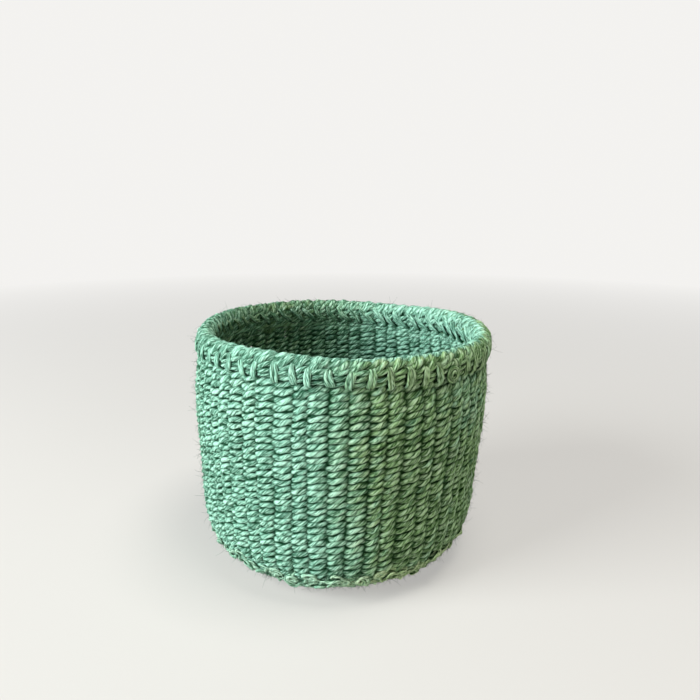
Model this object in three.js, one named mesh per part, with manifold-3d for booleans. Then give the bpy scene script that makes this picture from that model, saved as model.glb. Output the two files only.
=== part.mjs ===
import * as THREE from 'three';
import { mergeVertices } from 'three/addons/utils/BufferGeometryUtils.js';
import Module from 'manifold-3d';

// Small round storage basket, twined from sisal cord. Millimetres, +Z up, standing on z = 0.
// Upright cords (the warp) cross in the middle of the base, fan out, turn up the wall and fold
// outwards over the rim. A twined cord fabric holds them all. One lashing strand sews the fold down.

// Overall shape of the woven body
const basketHeight = 114;
const rimRadius = 75;
const widestRadius = 74.4;
const widestDrop = 10.6;
const shoulderRadius = 71.4;
const shoulderHeight = 34;
const baseRadius = 41;
const cornerFullness = 2.25;

// Folded band at the rim
const bandHeight = 11.4;
const bandTaper = 0.6;
const foldGap = 0.6;
const creaseHeightShare = 0.3;

// Cords and the fabric that holds them
const cordWidth = 2;
const strandThickness = 1.3;
const clearance = 0.3;
const ribDepth = 0.7;
const cordsPerArm = 7;
const startWeb = 1;
const stakeTuck = 3.5;
const cutOverrun = 0.5;

// Lashing strand that sews the folded band to the wall
const lashingWidth = 2.2;
const lashingThickness = 1.2;
const lashingDrop = 1.2;
const lashingTopShare = 0.57;

// Counts
const armCount = 4;
const cornerSteps = 3;
const samplesPerRib = 2;
const throughCount = armCount / 2 * cordsPerArm;
const centreEnds = 2 * throughCount;
const warpCount = 2 * centreEnds;

// Places that follow from the sizes above
const fabricThickness = cordWidth + 2 * strandThickness;
const channelWidth = cordWidth + 2 * clearance;
const bandBottom = basketHeight - bandHeight;
const foldWallRadius = rimRadius - fabricThickness - foldGap;
const foldCentreRadius = foldWallRadius + foldGap / 2;
const foldOuterRadius = fabricThickness + foldGap / 2;
const foldMiddleRadius = (fabricThickness + foldGap) / 2;
const foldCentreHeight = basketHeight - foldOuterRadius;
const creaseTop = bandBottom + creaseHeightShare * bandHeight;
const pocketRadius = centreEnds * (channelWidth + startWeb) / (2 * Math.PI);
const pocketFloor = strandThickness;
const pocketTop = pocketFloor + 2 * cordWidth + 3 * clearance;
const lowerCordHeight = pocketFloor + clearance + cordWidth / 2;
const upperCordHeight = lowerCordHeight + cordWidth + clearance;
const crossPitch = cordWidth + clearance;
const crossReach = (cordsPerArm - 1) / 2 * crossPitch + cordWidth / 2 + clearance;
const stakeStartRadius = baseRadius - stakeTuck;

const wasm = await Module();
wasm.setup();

// A point of a meridian section: x is the distance from the axis, y is the height
const at = (radius, height) => new THREE.Vector2(radius, height);

// Moves an open outline to its left by a distance, with mitred corners
function offsetLine(line, distance) {
  const normals = line.slice(1).map((point, i) => {
    const along = point.clone().sub(line[i]).normalize();
    return at(-along.y, along.x);
  });
  return line.map((point, i) => {
    const before = normals[Math.max(i - 1, 0)];
    const after = normals[Math.min(i, normals.length - 1)];
    const mitre = before.clone().add(after).multiplyScalar(distance / (1 + before.dot(after)));
    return point.clone().add(mitre);
  });
}

// A point on an arc round the middle of the fold; a turn of zero points away from the basket
const foldPoint = (turn, radius) => at(
  foldCentreRadius + radius * Math.cos(turn),
  foldCentreHeight + radius * Math.sin(turn),
);

// Outside of the wall, from the middle of the base to the top of the crease
function wallOutline() {
  const outline = [at(0, 0)];
  for (let i = 0; i <= cornerSteps; i += 1) {
    const turn = i / cornerSteps * Math.PI / 2;
    const outShare = Math.sin(turn) ** (2 / cornerFullness);
    const downShare = Math.cos(turn) ** (2 / cornerFullness);
    const radius = baseRadius + (shoulderRadius - baseRadius) * outShare;
    outline.push(at(radius, shoulderHeight * (1 - downShare)));
  }
  outline.push(at(widestRadius, bandBottom - widestDrop));
  outline.push(at(foldWallRadius, bandBottom));
  outline.push(at(foldWallRadius, foldCentreHeight));
  return outline;
}

const outside = wallOutline();
const inside = offsetLine(outside, fabricThickness);
const middle = offsetLine(outside, fabricThickness / 2);

// Distance from the axis at which an outline passes a height
function radiusAtHeight(outline, height) {
  const next = outline.findIndex((point) => point.y > height);
  const [low, high] = [outline[next - 1], outline[next]];
  return THREE.MathUtils.mapLinear(height, low.y, high.y, low.x, high.x);
}

// Middle line of one warp cord from the base pocket to the cut end under the band
function cordRoute(startRadius, endHeight) {
  const start = at(pocketRadius, (pocketFloor + pocketTop) / 2);
  const turnUp = middle[1];
  const startHeight = THREE.MathUtils.mapLinear(startRadius, start.x, turnUp.x, start.y, turnUp.y);
  const overFold = [Math.PI * 3 / 4, Math.PI / 4].map((turn) => foldPoint(turn, foldMiddleRadius));
  const end = at(foldCentreRadius + foldMiddleRadius, endHeight);
  return [at(startRadius, startHeight), ...middle.slice(1, -1), ...overFold, end];
}

// A point of a meridian section placed at an angle round the axis, moved sideways
function place(point, angle, sideways = 0) {
  const x = point.x * Math.cos(angle) - sideways * Math.sin(angle);
  const y = point.x * Math.sin(angle) + sideways * Math.cos(angle);
  return new THREE.Vector3(x, y, point.y);
}

// Four-sided sections of a cord that follows a route in one meridian plane
function cordSections(route, angle, width) {
  const inner = offsetLine(route, width / 2);
  const outer = offsetLine(route, -width / 2);
  return route.map((_, i) => [
    place(outer[i], angle, width / 2),
    place(inner[i], angle, width / 2),
    place(inner[i], angle, -width / 2),
    place(outer[i], angle, -width / 2),
  ]);
}

// Closed mesh from rows of points and a list of triangles
function meshFrom(points, triangles) {
  const geometry = new THREE.BufferGeometry();
  const numbers = points.flatMap((point) => point.toArray());
  geometry.setAttribute('position', new THREE.Float32BufferAttribute(numbers, 3));
  geometry.setIndex(triangles.flat());
  return geometry;
}

// Skin between sections with equal numbers of points, closed by end caps or joined into a loop
function loft(sections, { loop = false } = {}) {
  const sides = sections[0].length;
  const triangles = [];
  const spans = loop ? sections.length : sections.length - 1;
  for (let i = 0; i < spans; i += 1) {
    const near = i * sides;
    const far = (i + 1) % sections.length * sides;
    for (let j = 0; j < sides; j += 1) {
      const next = (j + 1) % sides;
      triangles.push([near + j, near + next, far + next], [near + j, far + next, far + j]);
    }
  }
  if (!loop) {
    const last = (sections.length - 1) * sides;
    for (let j = 1; j < sides - 1; j += 1) {
      triangles.push([0, j + 1, j], [last, last + j, last + j + 1]);
    }
  }
  return meshFrom(sections.flat(), triangles);
}

// Ring of points round the axis. A ribbed ring has a valley between each two warp cords.
function ring(point, valley = null) {
  const count = valley ? warpCount * samplesPerRib : warpCount;
  return Array.from({ length: count }, (_, i) => {
    const angle = i * 2 * Math.PI / count;
    return place(valley && i % samplesPerRib ? valley : point, angle);
  });
}

// Skin of revolution through rings of one or two points for each cord, with its poles on the axis
function revolve(bottomPole, rings, topPole) {
  const points = [bottomPole, ...rings.flat(), topPole];
  const starts = rings.map((_, i) => 1 + rings.slice(0, i).flat().length);
  const corner = (i, j) => starts[i] + j % rings[i].length;
  const ribCorners = (i, j) => [0, 1, samplesPerRib].map((step) => corner(i, samplesPerRib * j + step));
  const triangles = [];
  rings[0].forEach((_, j) => triangles.push([0, corner(0, j + 1), corner(0, j)]));
  for (let i = 0; i + 1 < rings.length; i += 1) {
    const [lower, upper] = [rings[i].length, rings[i + 1].length];
    for (let j = 0; j < Math.min(lower, upper); j += 1) {
      if (lower === upper) {
        triangles.push([corner(i, j), corner(i, j + 1), corner(i + 1, j + 1)]);
        triangles.push([corner(i, j), corner(i + 1, j + 1), corner(i + 1, j)]);
      } else if (lower < upper) {
        const [crown, valley, nextCrown] = ribCorners(i + 1, j);
        triangles.push([corner(i, j), corner(i, j + 1), valley]);
        triangles.push([corner(i, j), valley, crown]);
        triangles.push([corner(i, j + 1), nextCrown, valley]);
      } else {
        const [crown, valley, nextCrown] = ribCorners(i, j);
        triangles.push([valley, corner(i + 1, j + 1), corner(i + 1, j)]);
        triangles.push([crown, valley, corner(i + 1, j)]);
        triangles.push([valley, nextCrown, corner(i + 1, j + 1)]);
      }
    }
  }
  const last = rings.length - 1;
  rings[last].forEach((_, j) => triangles.push([points.length - 1, corner(last, j), corner(last, j + 1)]));
  return meshFrom(points, triangles);
}

function toSolid(geometry) {
  const merged = mergeVertices(geometry);
  return new wasm.Manifold(new wasm.Mesh({
    numProp: 3,
    vertProperties: new Float32Array(merged.attributes.position.array),
    triVerts: new Uint32Array(merged.index.array),
  }));
}

function toGeometry(solid) {
  const mesh = solid.getMesh();
  const geometry = new THREE.BufferGeometry();
  geometry.setAttribute('position', new THREE.BufferAttribute(new Float32Array(mesh.vertProperties), 3));
  geometry.setIndex(new THREE.BufferAttribute(new Uint32Array(mesh.triVerts), 1));
  geometry.computeVertexNormals();
  return geometry;
}

// Woven body before its cuts: base, ribbed wall, folded band and smooth inside
function bodyBlank() {
  const wallValleys = offsetLine(outside, ribDepth);
  const wall = outside.slice(2, -2).map((point, i) => ring(point, wallValleys[i + 2]));
  const fold = [0, Math.PI / 4, Math.PI / 2].map((turn) => (
    ring(foldPoint(turn, foldOuterRadius), foldPoint(turn, foldOuterRadius - ribDepth))
  ));
  const bandEdge = rimRadius - bandTaper;
  const startTop = pocketTop + strandThickness;
  return revolve(place(outside[0], 0), [
    ring(outside[1]),
    ...wall,
    ring(at(foldWallRadius, bandBottom)),
    ring(at(foldCentreRadius, creaseTop)),
    ring(at(foldWallRadius + foldGap, bandBottom)),
    ring(at(bandEdge, bandBottom), at(bandEdge - ribDepth, bandBottom)),
    ...fold,
    ring(foldPoint(Math.PI * 3 / 4, foldOuterRadius)),
    ...inside.slice(1).reverse().map((point) => ring(point)),
    ring(at(pocketRadius + strandThickness, startTop)),
  ], place(at(0, startTop), 0));
}

// Hollow in the middle of the base, where the first cords cross
function startPocket() {
  const rim = (height) => Array.from({ length: centreEnds }, (_, i) => (
    place(at(pocketRadius, height), (i + 1 / 2) * 2 * Math.PI / centreEnds)
  ));
  return loft([rim(pocketFloor), rim(pocketTop)]);
}

// Heights and radii of the lashing strand, which runs down the outside of the band,
// in through the wall under it, up the inside to the next place and out through the fold
const lashingTop = bandBottom + lashingTopShare * bandHeight;
const lashingBottom = bandBottom - lashingDrop;
const lashingHalf = lashingThickness / 2;
const lashingOutside = clearance + lashingHalf
  + Math.max(rimRadius - ribDepth, radiusAtHeight(outside, lashingBottom - lashingHalf));
const lashingInside = Math.min(
  foldWallRadius - fabricThickness,
  radiusAtHeight(inside, lashingBottom - lashingHalf),
) - clearance - lashingHalf;

// Hole through the fabric for one pass of the lashing
function lashingHole(height, angle) {
  const halfHeight = lashingHalf + clearance;
  const halfWidth = lashingWidth / 2 + clearance;
  return loft([lashingInside, lashingOutside].map((radius) => [
    place(at(radius, height - halfHeight), angle, -halfWidth),
    place(at(radius, height - halfHeight), angle, halfWidth),
    place(at(radius, height + halfHeight), angle, halfWidth),
    place(at(radius, height + halfHeight), angle, -halfWidth),
  ]));
}

// Quad across the lashing at a bend, from the inside corner of the bend to its outside corner
function lashingBend(radius, height, angle) {
  const outwards = Math.sign(radius - foldCentreRadius) * lashingHalf;
  const upwards = Math.sign(height - (lashingTop + lashingBottom) / 2) * lashingHalf;
  const inner = at(radius - outwards, height - upwards);
  const outer = at(radius + outwards, height + upwards);
  return [
    place(outer, angle, -lashingWidth / 2),
    place(inner, angle, -lashingWidth / 2),
    place(inner, angle, lashingWidth / 2),
    place(outer, angle, lashingWidth / 2),
  ];
}

const valleyAngles = Array.from({ length: warpCount }, (_, i) => (i + 1 / 2) * 2 * Math.PI / warpCount);

// One endless strand with a stitch in each valley between two cords
function lashingStrand() {
  return loft(valleyAngles.flatMap((angle) => [
    lashingBend(lashingInside, lashingTop, angle),
    lashingBend(lashingOutside, lashingTop, angle),
    lashingBend(lashingOutside, lashingBottom, angle),
    lashingBend(lashingInside, lashingBottom, angle),
  ]), { loop: true });
}

const throughAngle = (i) => (i - (cordsPerArm - 1) / 2) * 2 * Math.PI / centreEnds;
const stakeAngle = (i) => (i + 1 / 2) * 2 * Math.PI / centreEnds;

// Woven body with a channel for each cord, the start pocket and the holes for the lashing
function wovenBody() {
  const longRoute = cordRoute(pocketRadius - cutOverrun, bandBottom - cutOverrun);
  const shortRoute = cordRoute(stakeStartRadius - clearance, bandBottom - cutOverrun);
  const cuts = [startPocket()];
  for (let i = 0; i < centreEnds; i += 1) {
    cuts.push(loft(cordSections(longRoute, throughAngle(i), channelWidth)));
    cuts.push(loft(cordSections(shortRoute, stakeAngle(i), channelWidth)));
  }
  valleyAngles.forEach((angle) => {
    cuts.push(lashingHole(lashingTop, angle), lashingHole(lashingBottom, angle));
  });
  const cutter = cuts.map(toSolid).reduce((sum, solid) => sum.add(solid));
  return toGeometry(toSolid(bodyBlank()).subtract(cutter));
}

// Cord that runs from one side of the rim down the wall, across the base and up to the other side
function throughCord(i) {
  const crossing = i < cordsPerArm;
  const spin = crossing ? 0 : Math.PI / 2;
  const height = crossing ? lowerCordHeight : upperCordHeight;
  const seat = i % cordsPerArm - (cordsPerArm - 1) / 2;
  const angle = throughAngle(i % cordsPerArm);
  const route = cordRoute(pocketRadius, bandBottom);
  const half = cordSections(route, angle, cordWidth);
  const edge = [-1, 1].map((side) => at(crossReach, height + side * cordWidth / 2));
  const across = [
    place(edge[0], 0, seat * crossPitch + cordWidth / 2),
    place(edge[1], 0, seat * crossPitch + cordWidth / 2),
    place(edge[1], 0, seat * crossPitch - cordWidth / 2),
    place(edge[0], 0, seat * crossPitch - cordWidth / 2),
  ];
  const nearHalf = [across, ...half];
  const mirror = new THREE.Vector3(-1, 1, 1);
  const farHalf = nearHalf.map((section) => section.map((point) => point.clone().multiply(mirror)));
  return loft([...farHalf.reverse(), ...nearHalf]).rotateZ(spin);
}

// Cord added further out, between two through cords, to keep the ribs close together
function addedStake(i) {
  return loft(cordSections(cordRoute(stakeStartRadius, bandBottom), stakeAngle(i), cordWidth));
}

const finish = (color, roughness) => new THREE.MeshStandardMaterial({ color, roughness, metalness: 0 });

const basket = new THREE.Group();

function addPiece(name, geometry, material) {
  geometry.computeVertexNormals();
  const mesh = new THREE.Mesh(geometry, material);
  mesh.name = name;
  basket.add(mesh);
}

const twoDigits = (i) => String(i + 1).padStart(2, '0');

addPiece('woven_body', wovenBody(), finish(0x6fa388, 0.92));
addPiece('rim_lashing', lashingStrand(), finish(0x9dbfa2, 0.88));
for (let i = 0; i < throughCount; i += 1) {
  addPiece(`through_cord_${twoDigits(i)}`, throughCord(i), finish(0x5d8f74, 0.9));
}
for (let i = 0; i < centreEnds; i += 1) {
  addPiece(`added_stake_${twoDigits(i)}`, addedStake(i), finish(0x6a9170, 0.9));
}

export default basket;
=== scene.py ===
"""Dresses a small round storage basket, twined by hand from two-ply sisal.

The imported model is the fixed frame: it gives the basket's height, the width of
its rim and the holes of its lashing. This script makes every strand that
shows, in the same places: the pair of weft strands that twine round the cords
in one spiral, the cords themselves, the lashing of the folded rim, the looped
edge of the base and the stray fibres.
"""

import logging
import math
from dataclasses import dataclass, field
from enum import Enum

import bpy
import numpy as np
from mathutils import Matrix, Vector


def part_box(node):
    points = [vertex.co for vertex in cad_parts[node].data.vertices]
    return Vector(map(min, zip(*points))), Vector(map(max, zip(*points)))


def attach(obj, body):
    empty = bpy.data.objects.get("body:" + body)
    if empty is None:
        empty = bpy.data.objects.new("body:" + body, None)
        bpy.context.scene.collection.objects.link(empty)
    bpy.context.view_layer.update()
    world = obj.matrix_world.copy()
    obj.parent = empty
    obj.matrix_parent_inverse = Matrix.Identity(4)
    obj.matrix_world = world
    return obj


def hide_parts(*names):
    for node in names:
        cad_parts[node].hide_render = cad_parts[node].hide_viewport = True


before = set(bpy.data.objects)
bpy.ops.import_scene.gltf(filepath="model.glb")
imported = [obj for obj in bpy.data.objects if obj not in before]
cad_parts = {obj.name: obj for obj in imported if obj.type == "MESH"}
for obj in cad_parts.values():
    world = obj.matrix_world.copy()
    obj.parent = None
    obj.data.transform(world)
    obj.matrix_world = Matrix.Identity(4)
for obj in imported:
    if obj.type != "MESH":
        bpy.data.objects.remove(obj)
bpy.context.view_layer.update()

LOG = logging.getLogger("basket")
BODY = "root"
TURN = 2 * math.pi
MM = 0.001
YARN = "yarn"
DYE = "dye"
HALF_LASHING = 0.6 * MM

# Sockets of a Mix node that its colour mode uses.
MIX_INPUTS = (0, 6, 7)
MIX_OUTPUT = 2

# A fade holds the low and high value of a range, and what each of them gives.
Pair = tuple[float, float]
Triple = tuple[float, float, float]
Fade = tuple[float, float, float, float]


class Slot(Enum):
    """Material slots of the record."""

    WEFT = "weft_fabric"
    LASHING = "lashing_strand"
    WARP = "warp_cord"


class Zone(Enum):
    """Parts of the spiral, each a mesh of its own, from the middle of the base to the rim."""

    BASE = "base_weft"
    HEEL = "heel_weft"
    CORNER = "corner_weft"
    LOWER_WALL = "lower_wall_weft"
    MIDDLE_WALL = "middle_wall_weft"
    UPPER_WALL = "upper_wall_weft"
    THROAT = "throat_weft"
    RIM = "rim_weft"


def smooth(values: np.ndarray, reach: int) -> np.ndarray:
    """Averages each value with its neighbours.

    Args:
        values: Numbers in a row, or rows of numbers.
        reach: How many neighbours on each side take part.

    Returns:
        The averaged values, as many as before.
    """
    padded = np.concatenate([values[:1].repeat(reach, 0), values, values[-1:].repeat(reach, 0)])
    total = np.cumsum(np.concatenate([np.zeros_like(padded[:1]), padded]), axis=0)
    span = 2 * reach + 1
    return (total[span:] - total[:-span]) / span


def unit(vectors: np.ndarray) -> np.ndarray:
    """Scales each row to length one."""
    return vectors / np.maximum(np.linalg.norm(vectors, axis=-1, keepdims=True), 1e-12)


def ramp(value: np.ndarray, low: float, high: float) -> np.ndarray:
    """Rises smoothly from 0 at low to 1 at high."""
    share = np.clip((value - low) / (high - low), 0, 1)
    return share * share * (3 - 2 * share)


def knotted(count: np.ndarray, spacing: float, rng: np.random.Generator) -> np.ndarray:
    """Random numbers from -1 to 1 that change smoothly along a count.

    Args:
        count: Places along the count, from zero up.
        spacing: Distance between two random knots.
        rng: Source of the random numbers.

    Returns:
        One number for each place.
    """
    place = count / spacing
    knots = rng.uniform(-1, 1, int(place.max()) + 2)
    below = np.floor(place).astype(int)
    share = ramp(place - below, 0, 1)
    return knots[below] * (1 - share) + knots[below + 1] * share


@dataclass(frozen=True)
class Jitter:
    """Unevenness of the hand along a count of ribs: its size and the spacing of its knots."""

    size: float
    spacing: float

    def at(self, count: np.ndarray, rng: np.random.Generator) -> np.ndarray:
        """Draws the unevenness for each place along the count."""
        return self.size * knotted(count, self.spacing, rng)


@dataclass(frozen=True)
class Ripple:
    """One wave round the basket: its crests, share and phase, and its slant up the wall."""

    crests: int
    share: float = 1.0
    phase: float = 0.0
    slant: float = 0.0

    def at(self, angle: np.ndarray, rise: np.ndarray) -> np.ndarray:
        """Height of the wave at an angle and a share of the basket's height."""
        return self.share * np.sin(self.crests * angle + self.slant * rise + self.phase)


@dataclass(frozen=True)
class HandShape:
    """Small departures from a true round that the maker's hands leave."""

    lean: float = math.radians(1.7)
    pivot_height: float = 30 * MM
    tilt: float = math.radians(0.9)
    oval_share: float = 0.004
    ovals: tuple[Ripple, ...] = (
        Ripple(2, phase=0.6 + math.pi / 2),
        Ripple(3, share=0.6, phase=math.pi / 2 - 1.1),
    )
    wave: float = 0.6 * MM
    waves: tuple[Ripple, ...] = (Ripple(3, phase=0.9), Ripple(5, share=0.6, phase=-0.4))
    back_rise: float = 1.6 * MM
    side_rise: float = 1.0 * MM
    flare: float = 0.022
    flare_side: float = -0.3
    hang: float = 1.8 * MM
    rib_drift: float = 0.45 * MM
    rib_sways: tuple[Ripple, ...] = (Ripple(17, slant=2.5), Ripple(11, slant=-3), Ripple(23, phase=1.3))
    full_height: float = 114 * MM
    fold_depths: Pair = (15 * MM, 4 * MM)
    seam_depths: Pair = (26 * MM, 13 * MM)

    def settle(self, points: np.ndarray) -> np.ndarray:
        """Leans, tilts and waves points of the true round body.

        Args:
            points: Rows of x, y, z in metres.

        Returns:
            The moved points.
        """
        x, y, z = points[..., 0], points[..., 1], points[..., 2]
        angle = np.arctan2(y, x)
        rise = np.clip(z / self.full_height, 0, 1)
        clear = ramp(z, 0, self.pivot_height)
        fold = self.under_top(z, self.fold_depths)
        seam = self.under_top(z, self.seam_depths) * (1 - fold)
        oval, sway, waves = (
            sum(ripple.at(angle, rise) for ripple in ripples)
            for ripples in (self.ovals, self.rib_sways, self.waves)
        )
        flare = self.flare * np.maximum(np.cos(angle - self.flare_side), 0) ** 3 * fold
        swell = 1 + self.oval_share * oval * rise + flare
        slide = self.rib_drift * sway * clear
        back = (1 + np.sin(angle)) / 2
        uneven = self.wave * waves + self.back_rise * back**2 + self.side_rise * np.cos(angle) ** 2
        leant = x * swell + self.lean * (z - self.pivot_height) * clear
        sunk = self.tilt * x * rise**2 + self.hang * np.cos(angle) * seam
        return np.stack(
            [leant - slide * np.sin(angle), y * swell + slide * np.cos(angle), z + uneven * rise**3 - sunk],
            axis=-1,
        )

    def under_top(self, level: np.ndarray, depths: Pair) -> np.ndarray:
        """Rises from 0 to 1 between two depths under the top of the basket."""
        return ramp(level, self.full_height - depths[0], self.full_height - depths[1])


@dataclass
class Meridian:
    """Middle line of the fabric in a half plane through the axis.

    It runs from the middle of the base, round the corner, up the wall and
    outwards over the fold to the lower edge of the band.
    """

    height: float
    rim_radius: float
    fabric: float = 4.6 * MM
    fold_gap: float = 0.6 * MM
    band_height: float = 11.4 * MM
    base_radius: float = 41 * MM
    shoulder_radius: float = 71.3 * MM
    shoulder_height: float = 34 * MM
    corner_fullness: float = 2.25
    middle_radius: float = 74.6 * MM
    middle_height: float = 69 * MM
    belly_radius: float = 75.4 * MM
    belly_height: float = 85 * MM
    neck_radius: float = 74.4 * MM
    neck_drop: float = 3.4 * MM
    throat_radius: float = 72.4 * MM
    tuck: float = 0.9 * MM
    tuck_top: float = 3 * MM
    tuck_bottom: float = 0.6 * MM
    start_rise: float = 1.4 * MM
    start_radius: float = 16 * MM
    start_fade: float = 1.4
    step: float = 0.2 * MM
    corner_steps: int = 24
    rounding: int = 7
    arc: np.ndarray = field(init=False)
    radius: np.ndarray = field(init=False)
    level: np.ndarray = field(init=False)
    out_radius: np.ndarray = field(init=False)
    out_level: np.ndarray = field(init=False)

    def __post_init__(self) -> None:
        """Lays the line out at even steps and finds which way its outer face looks."""
        outline = self.outer_outline()
        middle = self.inset(outline, self.fabric / 2)
        line = np.array(middle + self.fold())
        length = np.concatenate([[0], np.cumsum(np.hypot(*np.diff(line, axis=0).T))])
        self.arc = np.arange(0, length[-1], self.step)
        even = np.stack([np.interp(self.arc, length, line[:, i]) for i in (0, 1)], axis=-1)
        even = smooth(even, self.rounding)
        even[:, 0] -= even[0, 0]
        self.radius = even[:, 0]
        fade = ramp(self.radius, self.start_radius, self.start_radius * self.start_fade)
        self.level = even[:, 1] + np.where(self.arc < self.base_radius, self.start_rise * (1 - fade), 0)
        along = unit(np.stack([np.gradient(self.radius), np.gradient(self.level)], axis=-1))
        self.out_radius = along[:, 1]
        self.out_level = -along[:, 0]

    @property
    def band_bottom(self) -> float:
        """Height of the lower edge of the folded band."""
        return self.height - self.band_height

    @property
    def fold_wall(self) -> float:
        """Outer radius of the wall behind the band."""
        return self.rim_radius - self.fabric - self.fold_gap

    @property
    def fold_level(self) -> float:
        """Height of the middle of the fold."""
        return self.height - self.fabric - self.fold_gap / 2

    def outer_outline(self) -> list[tuple[float, float]]:
        """Draws the outer face of the wall, from the axis to the fold.

        Returns:
            Points as radius and height.
        """
        outline = [(0.0, 0.0)]
        for i in range(self.corner_steps + 1):
            turn = i / self.corner_steps * math.pi / 2
            out_share = math.sin(turn) ** (2 / self.corner_fullness)
            down_share = math.cos(turn) ** (2 / self.corner_fullness) if i < self.corner_steps else 0.0
            radius = self.base_radius + (self.shoulder_radius - self.base_radius) * out_share
            outline.append((radius, self.shoulder_height * (1 - down_share)))
        return outline + [
            (self.middle_radius, self.middle_height),
            (self.belly_radius, self.belly_height),
            (self.neck_radius, self.band_bottom - self.neck_drop),
            (self.throat_radius, self.band_bottom),
            (self.fold_wall, self.band_bottom + self.fabric),
            (self.fold_wall, self.fold_level),
        ]

    def inset(self, outline: list[tuple[float, float]], depth: float) -> list[tuple[float, float]]:
        """Moves an outline inwards, square to its own course.

        Args:
            outline: Points as radius and height.
            depth: How far it moves.

        Returns:
            The moved points.
        """
        points = np.array(outline)
        normals = unit(np.stack([-np.diff(points[:, 1]), np.diff(points[:, 0])], axis=-1))
        before = np.concatenate([normals[:1], normals])
        after = np.concatenate([normals, normals[-1:]])
        share = depth / (1 + np.sum(before * after, axis=1, keepdims=True))
        return [tuple(point) for point in points + (before + after) * share]

    def fold(self) -> list[tuple[float, float]]:
        """Draws the middle line over the fold and down the band.

        Returns:
            Points as radius and height.
        """
        centre = self.fold_wall + self.fold_gap / 2
        reach = (self.fabric + self.fold_gap) / 2
        turns = np.linspace(math.pi, 0, self.corner_steps)
        over = [(centre + reach * math.cos(t), self.fold_level + reach * math.sin(t)) for t in turns]
        edge = [
            (centre + reach, self.band_bottom + self.tuck_top),
            (centre + reach - self.tuck, self.band_bottom + self.tuck_bottom),
        ]
        return over[1:] + edge

    def arc_at(self, level: float) -> float:
        """Length along the line at which the wall first reaches a height."""
        return float(self.arc[np.argmax(self.level >= level)])

    def crest_arc(self) -> float:
        """Length along the line at the top of the fold."""
        return float(self.arc[np.argmax(self.level)])

    def point(self, arc: np.ndarray) -> tuple[np.ndarray, ...]:
        """Radius, height and the outward direction in both, at lengths along the line."""
        values = (self.radius, self.level, self.out_radius, self.out_level)
        return tuple(np.interp(arc, self.arc, value) for value in values)


@dataclass(frozen=True)
class Side:
    """A side of the basket whose colour differs, and how that fades out round the axis."""

    angle: float
    far: float
    near: float
    amount: float = 1.0

    def at(self, angle: np.ndarray) -> np.ndarray:
        """Amount of the difference at an angle round the axis."""
        return self.amount * ramp(np.cos(angle - self.angle), self.far, self.near)


@dataclass
class DyeLot:
    """Unevenness of the dye over the basket, and the light and shade painted round it."""

    # Olive on the front-right: partly the dye, partly painted warm light and shade on the side away from the
    # key lamp.
    olive_and_shade_side: Side = Side(math.radians(-27), 0.2, 0.97)
    # The fold's front-right is paler: partly wear, partly painted light.
    worn_lit_side: Side = Side(math.radians(-27), 0.3, 0.95, 0.4)
    # Olive on the inner face round the back-left: partly the dye, partly painted shade on that shaded wall;
    # less of it outside.
    shaded_olive_side: Side = Side(math.radians(140), 0.0, 0.8, 0.42)
    # Painted shade round the back-left: on the inside wall there, which lies in the rim's shadow, and on the
    # crest there.
    shaded_side: Side = Side(math.radians(140), 0.1, 0.9, 0.6)
    # Side that faces the key lamp, where less shade is painted into the crevices.
    key_lit_side: Side = Side(math.radians(205), 0.3, 0.95, 0.22)
    # The whole fold is darker: partly painted shade against the top lamp on its upward face.
    fold_shade: float = 0.35
    shaded_olive_loss_outside: float = 0.6
    olive_gain: float = 1.2
    cloud_gain: float = 0.1
    cloud_share: float = 0.015
    patches: int = 7
    most_crests: int = 4
    steepest: float = 60.0
    seed: int = 11
    crests: np.ndarray = field(init=False)
    slopes: np.ndarray = field(init=False)
    phases: np.ndarray = field(init=False)

    def __post_init__(self) -> None:
        """Draws the patches of the dye."""
        rng = np.random.default_rng(self.seed)
        self.crests = rng.integers(1, self.most_crests + 1, self.patches)
        self.slopes = rng.uniform(-self.steepest, self.steepest, self.patches)
        self.phases = rng.uniform(0, TURN, self.patches)

    def olive(self, angle: np.ndarray, arc: np.ndarray, outer: np.ndarray | float = 1.0) -> np.ndarray:
        """Share of olive in the green: partly the dye, partly painted light and shade.

        Args:
            angle: Angle round the axis.
            arc: Length along the wall.
            outer: 1 on the outside of the basket and 0 on the inside.

        Returns:
            Shares from 0 to 1.
        """
        patches = zip(self.crests, self.slopes, self.phases)
        cloud = sum(np.sin(crests * angle + slope * arc + phase) for crests, slope, phase in patches)
        side = self.olive_and_shade_side.at(angle) * outer
        back = self.shaded_olive_side.at(angle) * (1 - self.shaded_olive_loss_outside * outer)
        gain = self.olive_gain + self.cloud_gain * cloud
        return np.clip((side + back) * gain + self.cloud_share * cloud, 0, 1)

    def fold_tone(self, angle: np.ndarray) -> np.ndarray:
        """Change in tone of the fold round the axis: darker all round, partly painted shade against the top
        lamp, and paler on the front-right, partly wear and partly painted light.
        """
        return self.worn_lit_side.at(angle) - self.fold_shade


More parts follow.
